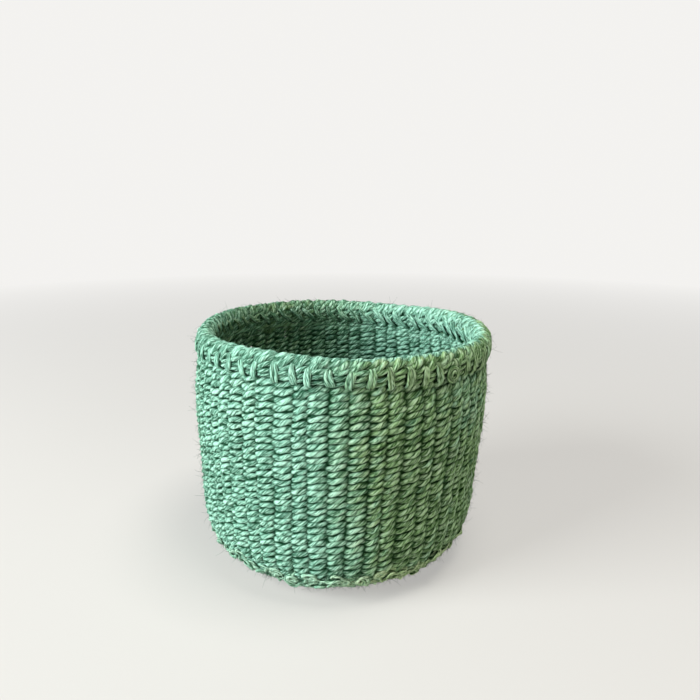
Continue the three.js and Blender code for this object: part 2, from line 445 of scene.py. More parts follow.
class StrandMesh:
    """Gathers strands into one mesh that carries their yarn and dye."""

    def __init__(self, name: str) -> None:
        """Starts an empty mesh.

        Args:
            name: Name of the piece.
        """
        self.name = name
        self.points: list[np.ndarray] = []
        self.yarn: list[np.ndarray] = []
        self.dye: list[np.ndarray] = []
        self.corners: list[np.ndarray] = []
        self.sizes: list[np.ndarray] = []
        self.total = 0

    def add(self, sections: np.ndarray, yarn: np.ndarray, dye: np.ndarray, loop: bool = False) -> None:
        """Skins a strand, or a stack of strands with as many stations each.

        Args:
            sections: Stations by sides by x, y, z, for each strand of the stack.
            yarn: The same shape: length along the strand and place round its plies.
            dye: The same shape: shade, share out of the painted crevice shade, and olive.
            loop: True where the last station meets the first.
        """
        stations, sides = sections.shape[-3:-1]
        strands = sections.size // (stations * sides * 3)
        near = np.arange(stations if loop else stations - 1)[:, None]
        far = (near + 1) % stations
        side = np.arange(sides)[None, :]
        after = (side + 1) % sides
        near, far = near * sides, far * sides
        quads = np.stack([near + side, far + side, far + after, near + after], axis=-1)
        starts = self.total + np.arange(strands)[:, None] * stations * sides
        self.corners.append((quads.reshape(1, -1) + starts).ravel())
        self.sizes.append(np.full(strands * quads.size // 4, 4))
        if not loop:
            caps = np.concatenate([np.arange(sides), stations * sides - 1 - np.arange(sides)])
            self.corners.append((caps[None, :] + starts).ravel())
            self.sizes.append(np.full(2 * strands, sides))
        for store, rows in ((self.points, sections), (self.yarn, yarn), (self.dye, dye)):
            store.append(rows.reshape(-1, 3))
        self.total += strands * stations * sides

    def build(self, material: bpy.types.Material, slot: Slot, nodes: list[str]) -> bpy.types.Object:
        """Makes the object, dresses it and lets it stand for the frame's nodes.

        Args:
            material: Finish of the piece.
            slot: The record's slot for it; not used.
            nodes: Names of the frame's nodes that it stands for.

        Returns:
            The new object.
        """
        corners = np.concatenate(self.corners).astype(np.int32)
        sizes = np.concatenate(self.sizes)
        mesh = bpy.data.meshes.new(self.name)
        mesh.vertices.add(self.total)
        mesh.vertices.foreach_set("co", np.concatenate(self.points).astype(np.float32).ravel())
        mesh.loops.add(len(corners))
        mesh.loops.foreach_set("vertex_index", corners)
        mesh.polygons.add(len(sizes))
        mesh.polygons.foreach_set("loop_start", (np.cumsum(sizes) - sizes).astype(np.int32))
        mesh.polygons.foreach_set("use_smooth", np.ones(len(sizes), bool))
        mesh.update(calc_edges=True)
        for name, rows in ((YARN, self.yarn), (DYE, self.dye)):
            attribute = mesh.attributes.new(name, "FLOAT_VECTOR", "POINT")
            attribute.data.foreach_set("vector", np.concatenate(rows).astype(np.float32).ravel())
        mesh.materials.append(material)
        piece = bpy.data.objects.new(self.name, mesh)
        bpy.context.scene.collection.objects.link(piece)
        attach(piece, BODY)
        if nodes:
            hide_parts(*nodes)
        LOG.info("%s: %d vertices, %d faces", self.name, self.total, len(sizes))
        return piece


@dataclass(frozen=True)
class Ply:
    """How a strand is spun: its plies, how tightly they turn and how rough it is."""

    sides: int = 12
    twist_length: float = 12.5 * MM
    lobe_share: float = 0.15
    ridge_share: float = 0.08
    ridge_reach: int = 2

    def spin(
        self,
        points: np.ndarray,
        facing: np.ndarray,
        width: np.ndarray,
        thickness: np.ndarray,
        rng: np.random.Generator,
        loop: bool = False,
    ) -> tuple[np.ndarray, np.ndarray, np.ndarray]:
        """Lays two plies round a strand's middle line.

        Args:
            points: Middle line, in metres.
            facing: Rough direction that the strand's face looks to, one row a point.
            width: Full width across the face.
            thickness: Full thickness through the face.
            rng: Source of the fibre ridges.
            loop: True where the line closes on itself.

        Returns:
            Sections, the yarn rows that go with them, and the cosine of each
            side's angle from the face.
        """
        if loop:
            ahead = np.roll(points, -1, axis=0) - np.roll(points, 1, axis=0)
        else:
            ahead = np.gradient(points, axis=0)
        along = unit(ahead)
        face = unit(facing - np.sum(facing * along, axis=1, keepdims=True) * along)
        edge = np.cross(face, along)
        steps = np.linalg.norm(np.diff(points, axis=0), axis=1)
        length = np.concatenate([[0], np.cumsum(steps)])
        turns = length[-1] / self.twist_length
        turn = length / self.twist_length * TURN
        if loop:
            turn = turn * (round(turns) / turns)
        side = np.arange(self.sides) / self.sides * TURN
        ply_angle = side[None, :] - turn[:, None]
        lobes = 1 - self.lobe_share + self.lobe_share * np.cos(2 * ply_angle)
        ridges = smooth(rng.uniform(-1, 1, (len(points), self.sides)), self.ridge_reach)
        size = lobes * (1 + self.ridge_share * math.sqrt(2 * self.ridge_reach + 1) * ridges)
        out = (size * np.cos(side) * thickness[:, None] / 2)[..., None] * face[:, None, :]
        over = (size * np.sin(side) * width[:, None] / 2)[..., None] * edge[:, None, :]
        lengths = np.repeat(length[:, None] / MM, self.sides, axis=1)
        yarn = np.stack([lengths, np.cos(ply_angle), np.sin(ply_angle)], axis=-1)
        return points[:, None, :] + out + over, yarn, np.broadcast_to(np.cos(side), size.shape)


@dataclass
class Stations:
    """What holds at each station of a weft strand."""

    angle: np.ndarray
    arc: np.ndarray
    count: np.ndarray
    wave: np.ndarray
    held: np.ndarray
    out_radius: np.ndarray


@dataclass
class WeftSpiral:
    """The pair of strands that twines round the cords from the base to the rim."""

    meridian: Meridian
    shape: HandShape
    dye_lot: DyeLot
    ply: Ply = Ply()
    # The rows, and the ribs that they go round.
    ribs: int = 56
    rib_groups: tuple[tuple[float, int], ...] = ((6 * MM, 8), (16 * MM, 4), (36.5 * MM, 2))
    steps_per_rib: int = 8
    start: float = 1.7 * MM
    start_radii: Pair = (15 * MM, 21 * MM)
    crest_reaches: Pair = (2.6 * MM, 6 * MM)
    past_crest: float = 5 * MM
    row_pitch: float = 2.96 * MM
    crest_pitch: float = 1.9 * MM
    band_pitch: float = 2.25 * MM
    # How far the strands swing out from the middle of the fabric, and climb between two ribs.
    reach: float = 1.28 * MM
    crest_reach: float = 1.0 * MM
    start_reach: float = 2.5 * MM
    climb: float = 0.64 * MM
    crest_climb: float = 1.5 * MM
    band_climb: float = 0.4 * MM
    # Their size, and how it shrinks where they cross or crowd.
    width: float = 3.35 * MM
    crest_width: float = 3.6 * MM
    band_width: float = 2.55 * MM
    thickness: float = 2.35 * MM
    crest_thickness: float = 2.9 * MM
    crossing_width: float = 0.88
    crossing_drift: float = 0.2
    crown_power: float = 0.65
    full_spacing: float = 5.5 * MM
    least_share: float = 0.42
    # Where the stitches and the fold press on them.
    pinch: float = 0.65 * MM
    pinch_reaches: Pair = (3 * MM, 5.5 * MM)
    pinch_lifts: Pair = (0.7, 1)
    throat_reaches: Pair = (-12 * MM, -6 * MM)
    throat_gain: float = 0.14
    throat_loss: float = 0.15
    fold_reaches: Pair = (-1 * MM, 2 * MM)
    # Unevenness of the hand.
    reach_jitter: Jitter = Jitter(0.2 * MM, 0.7)
    arc_jitter: Jitter = Jitter(0.36 * MM, 0.55)
    slide_jitter: Jitter = Jitter(0.6 * MM, 1.1)
    slide_radius: float = 10 * MM
    width_jitter: Jitter = Jitter(0.15, 0.8)
    thickness_jitter: Jitter = Jitter(0.12, 0.9)
    floor_gap: float = 0.02 * MM
    # Dye, the light and shade painted on parts of the basket, and the shade painted into the crevices.
    shade: float = 0.5
    long_shade: Jitter = Jitter(0.32, 3.1)
    short_shade: Jitter = Jitter(0.3, 1.1)
    fold_tone_reaches: Pair = (-2 * MM, 2 * MM)
    outer_bias: float = 0.3
    outer_cosines: Pair = (-0.7, 0.2)
    outer_reaches: Pair = (-1 * MM, 3 * MM)
    band_reaches: Pair = (2 * MM, 4 * MM)
    face_cosines: Pair = (0.15, 0.85)
    bead_waves: Pair = (-0.05, 0.7)
    fold_cosines: Pair = (-1.5, 0.0)
    under_cosines: Pair = (-0.6, 0.3)
    under_share: float = 0.8
    # Ends of the zones.
    zone_ends: Pair = (-4 * MM, 22 * MM)
    wall_marks: int = 4
    rim_drop: float = 2 * MM
    seed: int = 3
    row_count: int = field(init=False)
    row_marks: np.ndarray = field(init=False)
    arc_marks: np.ndarray = field(init=False)
    ribs_in_row: list[int] = field(init=False)

    def __post_init__(self) -> None:
        """Works out the rows, and how many ribs each of them goes round."""
        line = self.meridian
        stations = np.arange(self.start, line.arc[-1], line.step)
        rows = np.concatenate([[0], np.cumsum(line.step / self.pitch(stations[:-1]))])
        self.row_count = int(rows[-1])
        self.row_marks = rows * self.row_count / rows[-1]
        self.arc_marks = stations
        starts = self.arc_of(np.arange(self.row_count))
        self.ribs_in_row = [self.ribs_at(float(radius)) for radius in line.point(starts)[0]]

    def ribs_at(self, radius: float) -> int:
        """Number of ribs, or groups of ribs, that a row goes round.

        Args:
            radius: Radius of the row.

        Returns:
            The number, which is smaller near the middle of the base.
        """
        for limit, group in self.rib_groups:
            if radius < limit:
                return self.ribs // group
        return self.ribs

    def crest_share(self, arc: np.ndarray) -> np.ndarray:
        """1 on the crest of the fold and 0 away from it."""
        return 1 - ramp(np.abs(arc - self.meridian.crest_arc()), *self.crest_reaches)

    def pitch(self, arc: np.ndarray) -> np.ndarray:
        """Distance from row to row at a length along the meridian."""
        return self.graded(arc, self.row_pitch, self.crest_pitch, self.band_pitch)

    def graded(self, arc: np.ndarray, wall: float, crest: float, band: float) -> np.ndarray:
        """Grades a size along the meridian.

        Args:
            arc: Lengths along the meridian.
            wall: Size on the wall.
            crest: Size on the crest of the fold.
            band: Size on the band.

        Returns:
            The size at each length.
        """
        past = ramp(arc, self.meridian.crest_arc(), self.meridian.crest_arc() + self.past_crest)
        plain = wall + (band - wall) * past
        return plain + (crest - plain) * self.crest_share(arc)

    def arc_of(self, row: np.ndarray) -> np.ndarray:
        """Length along the meridian at a row number."""
        return np.interp(row, self.row_marks, self.arc_marks)

    def row_of(self, arc: float) -> int:
        """Number of the first row at or after a length along the meridian."""
        return int(math.ceil(np.interp(arc, self.arc_marks, self.row_marks)))

    def course(self, first: int, last: int) -> tuple[np.ndarray, np.ndarray, np.ndarray]:
        """Angle, row number and count of ribs passed, at each station of some rows.

        Args:
            first: First row.
            last: Row after the last one.

        Returns:
            Angles, row numbers and counts, with one station more at the end.
        """
        angles, rows, counts = [], [], []
        passed = sum(self.ribs_in_row[:first])
        for row in range(first, last):
            ribs = self.ribs_in_row[row]
            share = np.arange(ribs * self.steps_per_rib) / (ribs * self.steps_per_rib)
            angles.append((row + share) * TURN)
            rows.append(row + share)
            counts.append(passed + share * ribs)
            passed += ribs
        angles.append(np.array([last * TURN]))
        rows.append(np.array([last]))
        counts.append(np.array([passed]))
        return tuple(np.concatenate(values) for values in (angles, rows, counts))

    def past_fold(self, arc: np.ndarray, low: float, high: float) -> np.ndarray:
        """Rises from 0 to 1 between two lengths past the top of the fold."""
        return ramp(arc, self.meridian.crest_arc() + low, self.meridian.crest_arc() + high)

    def held_share(self, arc: np.ndarray) -> np.ndarray:
        """Finds the wall behind the band, where the stitches hold the rows together.

        Args:
            arc: Lengths along the meridian.

        Returns:
            1 there and 0 elsewhere.
        """
        throat = self.meridian.arc_at(self.meridian.band_bottom)
        low, high = self.throat_reaches
        return ramp(arc, throat + low, throat + high) * (1 - self.past_fold(arc, *self.fold_reaches))

    def tightness(self, row: np.ndarray, radius: np.ndarray) -> np.ndarray:
        """Share of its full size that a strand has where the ribs stand close together.

        Args:
            row: Row numbers.
            radius: Radii there.

        Returns:
            Shares of up to 1.
        """
        groups = np.array(self.ribs_in_row)[np.minimum(row.astype(int), self.row_count - 1)]
        return np.minimum(1, radius * TURN / groups / self.full_spacing + self.least_share)

    def strand(self, first: int, last: int, parity: int) -> tuple[np.ndarray, ...]:
        """One of the two strands over some rows.

        Args:
            first: First row.
            last: Row after the last one.
            parity: 0 or 1, which of the two strands.

        Returns:
            Sections, yarn and dye for the mesh, and the facing of each station.
        """
        angle, row, count = self.course(first, last)
        rng = np.random.default_rng([self.seed, parity, first])
        arc = self.arc_of(row)
        wave = np.cos(math.pi * (count + parity))
        lift = np.sin(math.pi * (count + parity))
        crown = np.abs(wave)
        count = count - count[0]
        radius = self.meridian.point(arc)[0]
        held = self.held_share(arc)
        tight = self.tightness(row, radius)
        reach = self.graded(arc, self.reach, self.crest_reach, self.reach)
        reach = reach + (self.start_reach - reach) * (1 - ramp(radius, *self.start_radii))
        reach = (reach + self.reach_jitter.at(count, rng)) * (1 - self.throat_loss * held)
        climb = self.graded(arc, self.climb, self.crest_climb, self.band_climb)
        width = self.graded(arc, self.width, self.crest_width, self.band_width) * tight
        width = width * (1 + self.throat_gain * held)
        width = width * (self.crossing_width + (1 - self.crossing_width) * crown)
        thickness = self.graded(arc, self.thickness, self.crest_thickness, self.thickness) * tight
        drift = self.arc_jitter.at(count, rng) * (self.crossing_drift + (1 - self.crossing_drift) * crown)
        arc = arc + climb * lift + drift
        radius, level, out_radius, out_level = self.meridian.point(np.minimum(arc, self.meridian.arc[-1]))
        off = reach * np.sign(wave) * crown**self.crown_power + self.pinched(arc, lift)
        angle = angle + self.slide_jitter.at(count, rng) / np.maximum(radius, self.slide_radius)
        points = cylinder_to_space(angle, radius + off * out_radius, level + off * out_level)
        outwards = cylinder_to_space(angle, out_radius, out_level)
        width = width * (1 + self.width_jitter.at(count, rng))
        thickness = thickness * (1 + self.thickness_jitter.at(count, rng))
        sections, yarn, cosine = self.ply.spin(self.shape.settle(points), outwards, width, thickness, rng)
        sections[..., 2] = np.maximum(sections[..., 2], self.floor_gap * (1 - cosine))
        dye = self.dyed(Stations(angle, arc, count, wave, held, out_radius), cosine, rng)
        return sections, yarn, dye, outwards * np.where(wave < 0, -1.0, 1.0)[:, None]

    def dyed(self, at: Stations, cosine: np.ndarray, rng: np.random.Generator) -> np.ndarray:
        """Dyes a strand, and paints shade on it.

        Args:
            at: Its stations.
            cosine: Cosine of each side's angle from the outward direction.
            rng: Source of the uneven shade.

        Returns:
            Shade, share out of the painted crevice shade, and olive for each side of each station.
        """
        shade = self.shade + self.long_shade.at(at.count, rng) + self.short_shade.at(at.count, rng)
        # Painted shade round the back-left.
        shade = shade - self.dye_lot.shaded_side.at(at.angle)
        # Tone of the fold: partly painted shade, and paler on the front-right by wear and painted light.
        shade = shade + self.dye_lot.fold_tone(at.angle) * self.past_fold(at.arc, *self.fold_tone_reaches)
        outwards = cosine * np.sign(at.out_radius + self.outer_bias)[:, None]
        outer = ramp(outwards, *self.outer_cosines)
        outer = np.maximum(outer, self.past_fold(at.arc, *self.outer_reaches)[:, None])
        olive = self.dye_lot.olive(at.angle[:, None], at.arc[:, None], outer)
        shade = np.broadcast_to(shade[:, None], cosine.shape)
        return np.stack([shade, self.crevice_unshaded(at, cosine), olive], axis=-1)

    def pinched(self, arc: np.ndarray, lift: np.ndarray) -> np.ndarray:
        """Depth to which the stitches draw the band in, between two ribs."""
        return self.pinch * self.past_fold(arc, *self.pinch_reaches) * ramp(np.abs(lift), *self.pinch_lifts)

    def crevice_unshaded(self, at: Stations, cosine: np.ndarray) -> np.ndarray:
        """How far each side of a strand is out of the shade painted into the crevices.

        Less shade is painted into the crevices on the side that faces the key lamp, and
        little on the fold and on the inner face under it.

        Args:
            at: Its stations.
            cosine: Cosine of each side's angle from the outward direction.

        Returns:
            Shares from 0 to 1, a row for each station.
        """
        key_lit = self.dye_lot.key_lit_side.at(at.angle)
        crest = np.maximum(self.crest_share(at.arc), self.past_fold(at.arc, *self.band_reaches) / 2)
        outside = ramp(cosine, *self.face_cosines) * ramp(at.wave + key_lit, *self.bead_waves)[:, None]
        inside = ramp(-cosine, *self.face_cosines) * ramp(-at.wave, *self.bead_waves)[:, None]
        over_fold = ramp(cosine, *self.fold_cosines) * crest[:, None]
        under_fold = self.under_share * ramp(-cosine, *self.under_cosines) * at.held[:, None]
        return np.maximum.reduce([outside, inside, over_fold, under_fold])

    def zone_rows(self) -> list[tuple[Zone, int, int]]:
        """Shares the rows out among the zones.

        Returns:
            Each zone, its first row and the row after its last one.
        """
        line = self.meridian
        wall = np.linspace(line.shoulder_height, line.belly_height, self.wall_marks)
        ends = [line.base_radius + past for past in self.zone_ends]
        ends += [line.arc_at(float(level)) for level in (*wall, line.fold_level - self.rim_drop)]
        marks = [0] + [self.row_of(end) for end in ends] + [self.row_count]
        return [(zone, marks[i], marks[i + 1]) for i, zone in enumerate(Zone)]

    def build(self, material: bpy.types.Material) -> list[bpy.types.Object]:
        """Makes one piece for each zone of the spiral.

        Args:
            material: Finish of the weft.

        Returns:
            The pieces.
        """
        pieces = []
        for zone, first, last in self.zone_rows():
            mesh = StrandMesh(zone.value)
            for parity in (0, 1):
                mesh.add(*self.strand(first, last, parity)[:3])
            pieces.append(mesh.build(material, Slot.WEFT, ["woven_body"]))
            LOG.info("%s holds rows %d to %d", zone.value, first, last)
        return pieces


def spline(points: np.ndarray, steps: int, loop: bool = False) -> np.ndarray:
    """Runs a smooth line through points.

    Args:
        points: Rows of coordinates that the line passes through.
        steps: Stations for each span between two points.
        loop: True where the line closes on itself.

    Returns:
        The stations of the line.
    """
    if loop:
        ring = np.concatenate([points[-1:], points, points[:2]])
    else:
        ring = np.concatenate([2 * points[:1] - points[1:2], points, 2 * points[-1:] - points[-2:-1]])
    before, near, far, after = (ring[i : len(ring) - 3 + i, None, :] for i in range(4))
    t = (np.arange(steps) / steps)[None, :, None]
    line = 0.5 * (
        2 * near
        + (far - before) * t
        + (2 * before - 5 * near + 4 * far - after) * t**2
        + (3 * near - before - 3 * far + after) * t**3
    )
    line = line.reshape(-1, points.shape[1])
    return line if loop else np.concatenate([line, points[-1:]])


def cylinder_to_space(angle: np.ndarray, radius: np.ndarray, level: np.ndarray) -> np.ndarray:
    """Turns angles, radii and heights into x, y, z."""
    return np.stack([radius * np.cos(angle), radius * np.sin(angle), level], axis=-1)


@dataclass
class WarpCords:
    """The upright cords, from the crossing in the base to the cut ends under the band."""

    meridian: Meridian
    shape: HandShape
    dye_lot: DyeLot
    ply: Ply = Ply(sides=8, twist_length=11 * MM, lobe_share=0.12, ridge_share=0.05)
    cord: float = 1.9 * MM
    cover: float = 0.8
    ends: int = 28
    arm: int = 7
    cross_pitch: float = 2.3 * MM
    lower_level: float = 2.6 * MM
    upper_level: float = 4.9 * MM
    cross_reach: float = 8.2 * MM
    pocket_radius: float = 16 * MM
    stake_start: float = 37.5 * MM
    widening: float = 1.4
    pace: float = 2.6 * MM
    steps: int = 2
    shade: float = 0.4
    # Share out of the painted crevice shade: the cords lie between the weft strands, so most of each cord is
    # painted shade.
    crown: float = 0.25
    seed: int = 5

    def upright(self, angle: float, start: float) -> np.ndarray:
        """Lays a cord out in its own half plane.

        Args:
            angle: Angle of the half plane round the axis.
            start: Length along the meridian at which the cord starts.

        Returns:
            Its middle line, up to the band.
        """
        arc = np.arange(start, self.meridian.arc[-1], self.pace)
        radius, level = self.meridian.point(arc)[:2]
        return cylinder_to_space(np.full(len(arc), angle), radius, level)

    def through_line(self, i: int) -> np.ndarray:
        """Lays out a cord that crosses the base from one side of the rim to the other.

        Args:
            i: Number of the cord, those of the lower arm first.

        Returns:
            Its middle line.
        """
        seat = i % self.arm - (self.arm - 1) / 2
        level = self.lower_level if i < self.arm else self.upper_level
        side = self.upright(seat * TURN / self.ends, self.pocket_radius)
        across = [[x, seat * self.cross_pitch, level] for x in (0, self.cross_reach / 2, self.cross_reach)]
        half = np.concatenate([np.array(across), side])
        whole = np.concatenate([half[:0:-1] * np.array([-1, 1, 1]), half])
        if i < self.arm:
            return whole
        return np.stack([-whole[:, 1], whole[:, 0], whole[:, 2]], axis=-1)

    def cord_mesh(self, mesh: StrandMesh, line: np.ndarray, rng: np.random.Generator) -> None:
        """Spins one cord into a mesh.

        Args:
            mesh: Where it goes.
            line: Its middle line.
            rng: Source of its fibre ridges.
        """
        points = self.shape.settle(spline(line, self.steps))
        radius = np.hypot(points[:, 0], points[:, 1])
        broad = self.cover * TURN * radius / (2 * self.ends)
        spread = ramp(radius, self.stake_start, self.widening * self.stake_start)
        width = self.cord + (broad - self.cord) * spread
        along = unit(np.gradient(points, axis=0))
        sideways = unit(np.stack([-points[:, 1], points[:, 0], np.zeros(len(points))], axis=-1))
        in_wall = radius[:, None] > self.pocket_radius
        facing = np.where(in_wall, np.cross(sideways, along), np.array([0, 0, 1.0]))
        sections, yarn, _ = self.ply.spin(points, facing, width, np.full(len(points), self.cord), rng)
        olive = self.dye_lot.olive(np.arctan2(points[:, 1], points[:, 0]), points[:, 2])
        rows = np.stack([np.full_like(olive, self.shade), np.full_like(olive, self.crown), olive], axis=-1)
        mesh.add(sections, yarn, np.repeat(rows[:, None, :], self.ply.sides, axis=1))

    def build(self, material: bpy.types.Material) -> list[bpy.types.Object]:
        """Makes the cords that cross the base, and those added further out.

        Args:
            material: Finish of the cords.

        Returns:
            The two pieces.
        """
        rng = np.random.default_rng(self.seed)
        through = StrandMesh("through_cords")
        for i in range(2 * self.arm):
            self.cord_mesh(through, self.through_line(i), rng)
        stakes = StrandMesh("added_stakes")
        for i in range(self.ends):
            self.cord_mesh(stakes, self.upright((i + 0.5) * TURN / self.ends, self.stake_start), rng)
        named = sorted(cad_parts)
        return [
            through.build(material, Slot.WARP, [n for n in named if n.startswith("through_cord")]),
            stakes.build(material, Slot.WARP, [n for n in named if n.startswith("added_stake")]),
        ]


@dataclass
class RimLashing:
    """The doubled strand that sews the folded band to the wall."""

    shape: HandShape
    dye_lot: DyeLot
    top: float
    bottom: float
    ply: Ply = Ply(sides=10, twist_length=26 * MM, lobe_share=0.12, ridge_share=0.1)
    stitches: int = 56
    steps: int = 3
    strand: float = 1.85 * MM
    plump: float = 1.12
    thickness: float = 1.5 * MM
    spread: float = 0.66 * MM
    outside: float = 73.85 * MM
    inside: float = 65.5 * MM
    hole: float = 69.8 * MM
    # Unevenness of the stitches.
    bow: float = 0.7 * MM
    lean: float = 0.9 * MM
    uneven_inside: Triple = (0.5 * MM, 0.5 * MM, 1.6 * MM)
    uneven_high: Pair = (-0.9 * MM, 0.8 * MM)
    uneven_low: Pair = (-0.5 * MM, 0.5 * MM)
    uneven_outside: Pair = (-0.4 * MM, 0.3 * MM)
    uneven_slant: Pair = (-0.3 * MM, 0.9 * MM)
    # Course of one stitch, off the wall, the holes and the ends of the band.
    high_seat: float = 0.4 * MM
    shoulder: Pair = (-0.5 * MM, 0.1 * MM)
    bulges: Triple = (0.35 * MM, 0.5 * MM, 0.2 * MM)
    foot_sink: float = 1.6 * MM
    bulge_lean: float = 0.7
    bulge_sways: Pair = (0.7, 0.6)
    bulge_heights: Pair = (0.2, 0.16)
    low_seat: Pair = (2.1 * MM, 0.2 * MM)
    # Size of the strands over the fold and round the rim.
    facing_height: float = 1.2
    taper: float = 0.28
    taper_start: float = 0.25
    uneven: float = 0.16
    spread_jitter: Jitter = Jitter(0.3, 0.5)
    width_jitter: Jitter = Jitter(0.22, 0.6)
    thickness_jitter: Jitter = Jitter(0.1, 0.4)
    # Dye, and the shade painted near the holes and on the side of the strand that faces the fabric.
    shade: float = 0.45
    outer_shade: float = 0.08
    shade_jitter: Jitter = Jitter(0.4, 1.0)
    wall_half: float = 2 * MM
    unshaded_reaches: Pair = (1.2 * MM, 3.6 * MM)
    unshaded_cosines: Pair = (-0.8, 0.4)
    # The coil of strand on the band.
    coil_angle: float = math.radians(-50)
    coil_turns: float = 2.1
    coil_stations: int = 34
    coil_radius: float = 3.3 * MM
    coil_start: float = 0.4 * MM
    coil_power: float = 0.8
    coil_shares: Pair = (0.9, 1.15)
    coil_drop: float = 0.6 * MM
    coil_proud: float = 1.6 * MM
    coil_dome: float = 0.5 * MM
    coil_width: float = 2.05 * MM
    coil_thickness_share: float = 0.85
    coil_cosines: Pair = (0.0, 0.8)
    seed: int = 7

    @property
    def middle(self) -> float:
        """Height of the middle of the band."""
        return (self.top + self.bottom) / 2

    def route(self, rng: np.random.Generator) -> np.ndarray:
        """Finds the points that the strand passes, stitch by stitch.

        Args:
            rng: Source of the uneven stitches.

        Returns:
            Angle, radius and height of each point.
        """
        points = []
        pitch = TURN / self.stitches
        drop, rise = (share * (self.top - self.bottom) for share in self.bulge_heights)
        upper, full, lower = self.bulges
        for i in range(self.stitches):
            angle = (i + 0.5) * pitch
            sway = rng.uniform(-1, 1) * self.bow / self.outside
            lean = rng.uniform(-1, 1) * self.lean / self.outside
            inner = rng.uniform(-1, 1, 3) * np.array(self.uneven_inside) / self.inside
            high = self.top + rng.uniform(*self.uneven_high)
            low = self.bottom + rng.uniform(*self.uneven_low)
            out = self.outside + rng.uniform(*self.uneven_outside)
            slant = rng.uniform(*self.uneven_slant)
            leant = self.bulge_lean * lean
            points += [
                (angle + inner[0], self.inside + self.high_seat, high),
                (angle, self.hole, high),
                (angle + lean, out + self.shoulder[0], high + self.shoulder[1]),
                (angle + leant + self.bulge_sways[0] * sway, out + upper, high - drop),
                (angle + sway, out + full, self.middle),
                (angle - leant + self.bulge_sways[1] * sway, out + lower, low + rise),
                (angle, out - self.foot_sink, low),
                (angle, self.hole, low),
                (angle + inner[1], self.inside + self.low_seat[0], low + self.low_seat[1]),
                (angle + 0.5 * pitch + inner[2], self.inside + slant, self.middle),
            ]
        return np.array(points)

    def build(self, material: bpy.types.Material) -> bpy.types.Object:
        """Makes both strands of the lashing, and the coil at the end of them.

        Args:
            material: Finish of the lashing.

        Returns:
            The piece.
        """
        rng = np.random.default_rng(self.seed)
        route = self.route(rng)
        mesh = StrandMesh("lashing")
        line = spline(cylinder_to_space(*route.T), self.steps, loop=True)
        radius, level = np.hypot(line[:, 0], line[:, 1]), line[:, 2]
        away = unit(np.stack([radius - self.hole, (level - self.middle) * self.facing_height], axis=-1))
        outwards = line[:, :2] / radius[:, None]
        facing = np.concatenate([outwards * away[:, :1], away[:, 1:]], axis=1)
        along = unit(np.roll(line, -1, axis=0) - np.roll(line, 1, axis=0))
        sideways = unit(np.cross(facing, along))
        count = np.arange(len(line)) * self.stitches / len(line)
        tall = self.top - self.bottom
        full = 1 - self.taper * ramp(np.abs(level - self.middle), self.taper_start * tall, tall / 2)
        angle = np.arctan2(line[:, 1], line[:, 0])
        full = full * (1 + self.uneven * np.cos(angle - self.dye_lot.olive_and_shade_side.angle))
        outer = ramp(radius, self.hole - self.wall_half, self.hole + self.wall_half)
        # Painted shade near the holes, where the strands dive into the fabric, and on their side that faces
        # it.
        unshaded = ramp(np.abs(radius - self.hole), *self.unshaded_reaches)
        for side in (-1, 1):
            apart = self.spread * full * (1 + self.spread_jitter.at(count, rng)) * side
            points = self.shape.settle(line + sideways * apart[:, None])
            width = self.strand * full * (self.plump + self.width_jitter.at(count, rng))
            thickness = self.thickness * (1 + self.thickness_jitter.at(count, rng))
            sections, yarn, cosine = self.ply.spin(points, facing, width, thickness, rng, loop=True)
            angle = np.arctan2(points[:, 1], points[:, 0])
            shade = self.shade + self.outer_shade * outer + self.shade_jitter.at(count, rng)
            # Painted shade round the back-left.
            shade = shade - self.dye_lot.shaded_side.at(angle)
            crown = unshaded[:, None] * ramp(cosine, *self.unshaded_cosines)
            olive = self.dye_lot.olive(angle, level, outer)
            shade, olive = (np.broadcast_to(row[:, None], crown.shape) for row in (shade, olive))
            mesh.add(sections, yarn, np.stack([shade, crown, olive], axis=-1), loop=True)
        self.coil(mesh, rng)
        return mesh.build(material, Slot.LASHING, ["rim_lashing"])

    def coil(self, mesh: StrandMesh, rng: np.random.Generator) -> None:
        """Adds the end of the strand, coiled flat on the band.

        Args:
            mesh: Where it goes.
            rng: Source of its fibre ridges.
        """
        turn = np.linspace(0, self.coil_turns * TURN, self.coil_stations)
        growth = (turn / turn[-1]) ** self.coil_power
        size = self.coil_start + (self.coil_radius - self.coil_start) * growth
        wide, tall = self.coil_shares
        angle = self.coil_angle + size * np.cos(turn) * wide / self.outside
        level = self.middle - self.coil_drop + size * np.sin(turn) * tall
        radius = self.outside + self.coil_proud - self.coil_dome * (size / self.coil_radius) ** 2
        line = self.shape.settle(cylinder_to_space(angle, radius, level))
        facing = cylinder_to_space(angle, np.ones_like(angle), np.zeros_like(angle))
        width = np.full(len(line), self.coil_width)
        sections, yarn, cosine = self.ply.spin(line, facing, width, self.coil_thickness_share * width, rng)
        # Painted shade on the side of the coil that faces the band.
        unshaded = ramp(cosine, *self.coil_cosines)
        dye = np.stack([np.full_like(unshaded, self.shade), unshaded, np.ones_like(unshaded)], axis=-1)
        mesh.add(sections, yarn, dye)


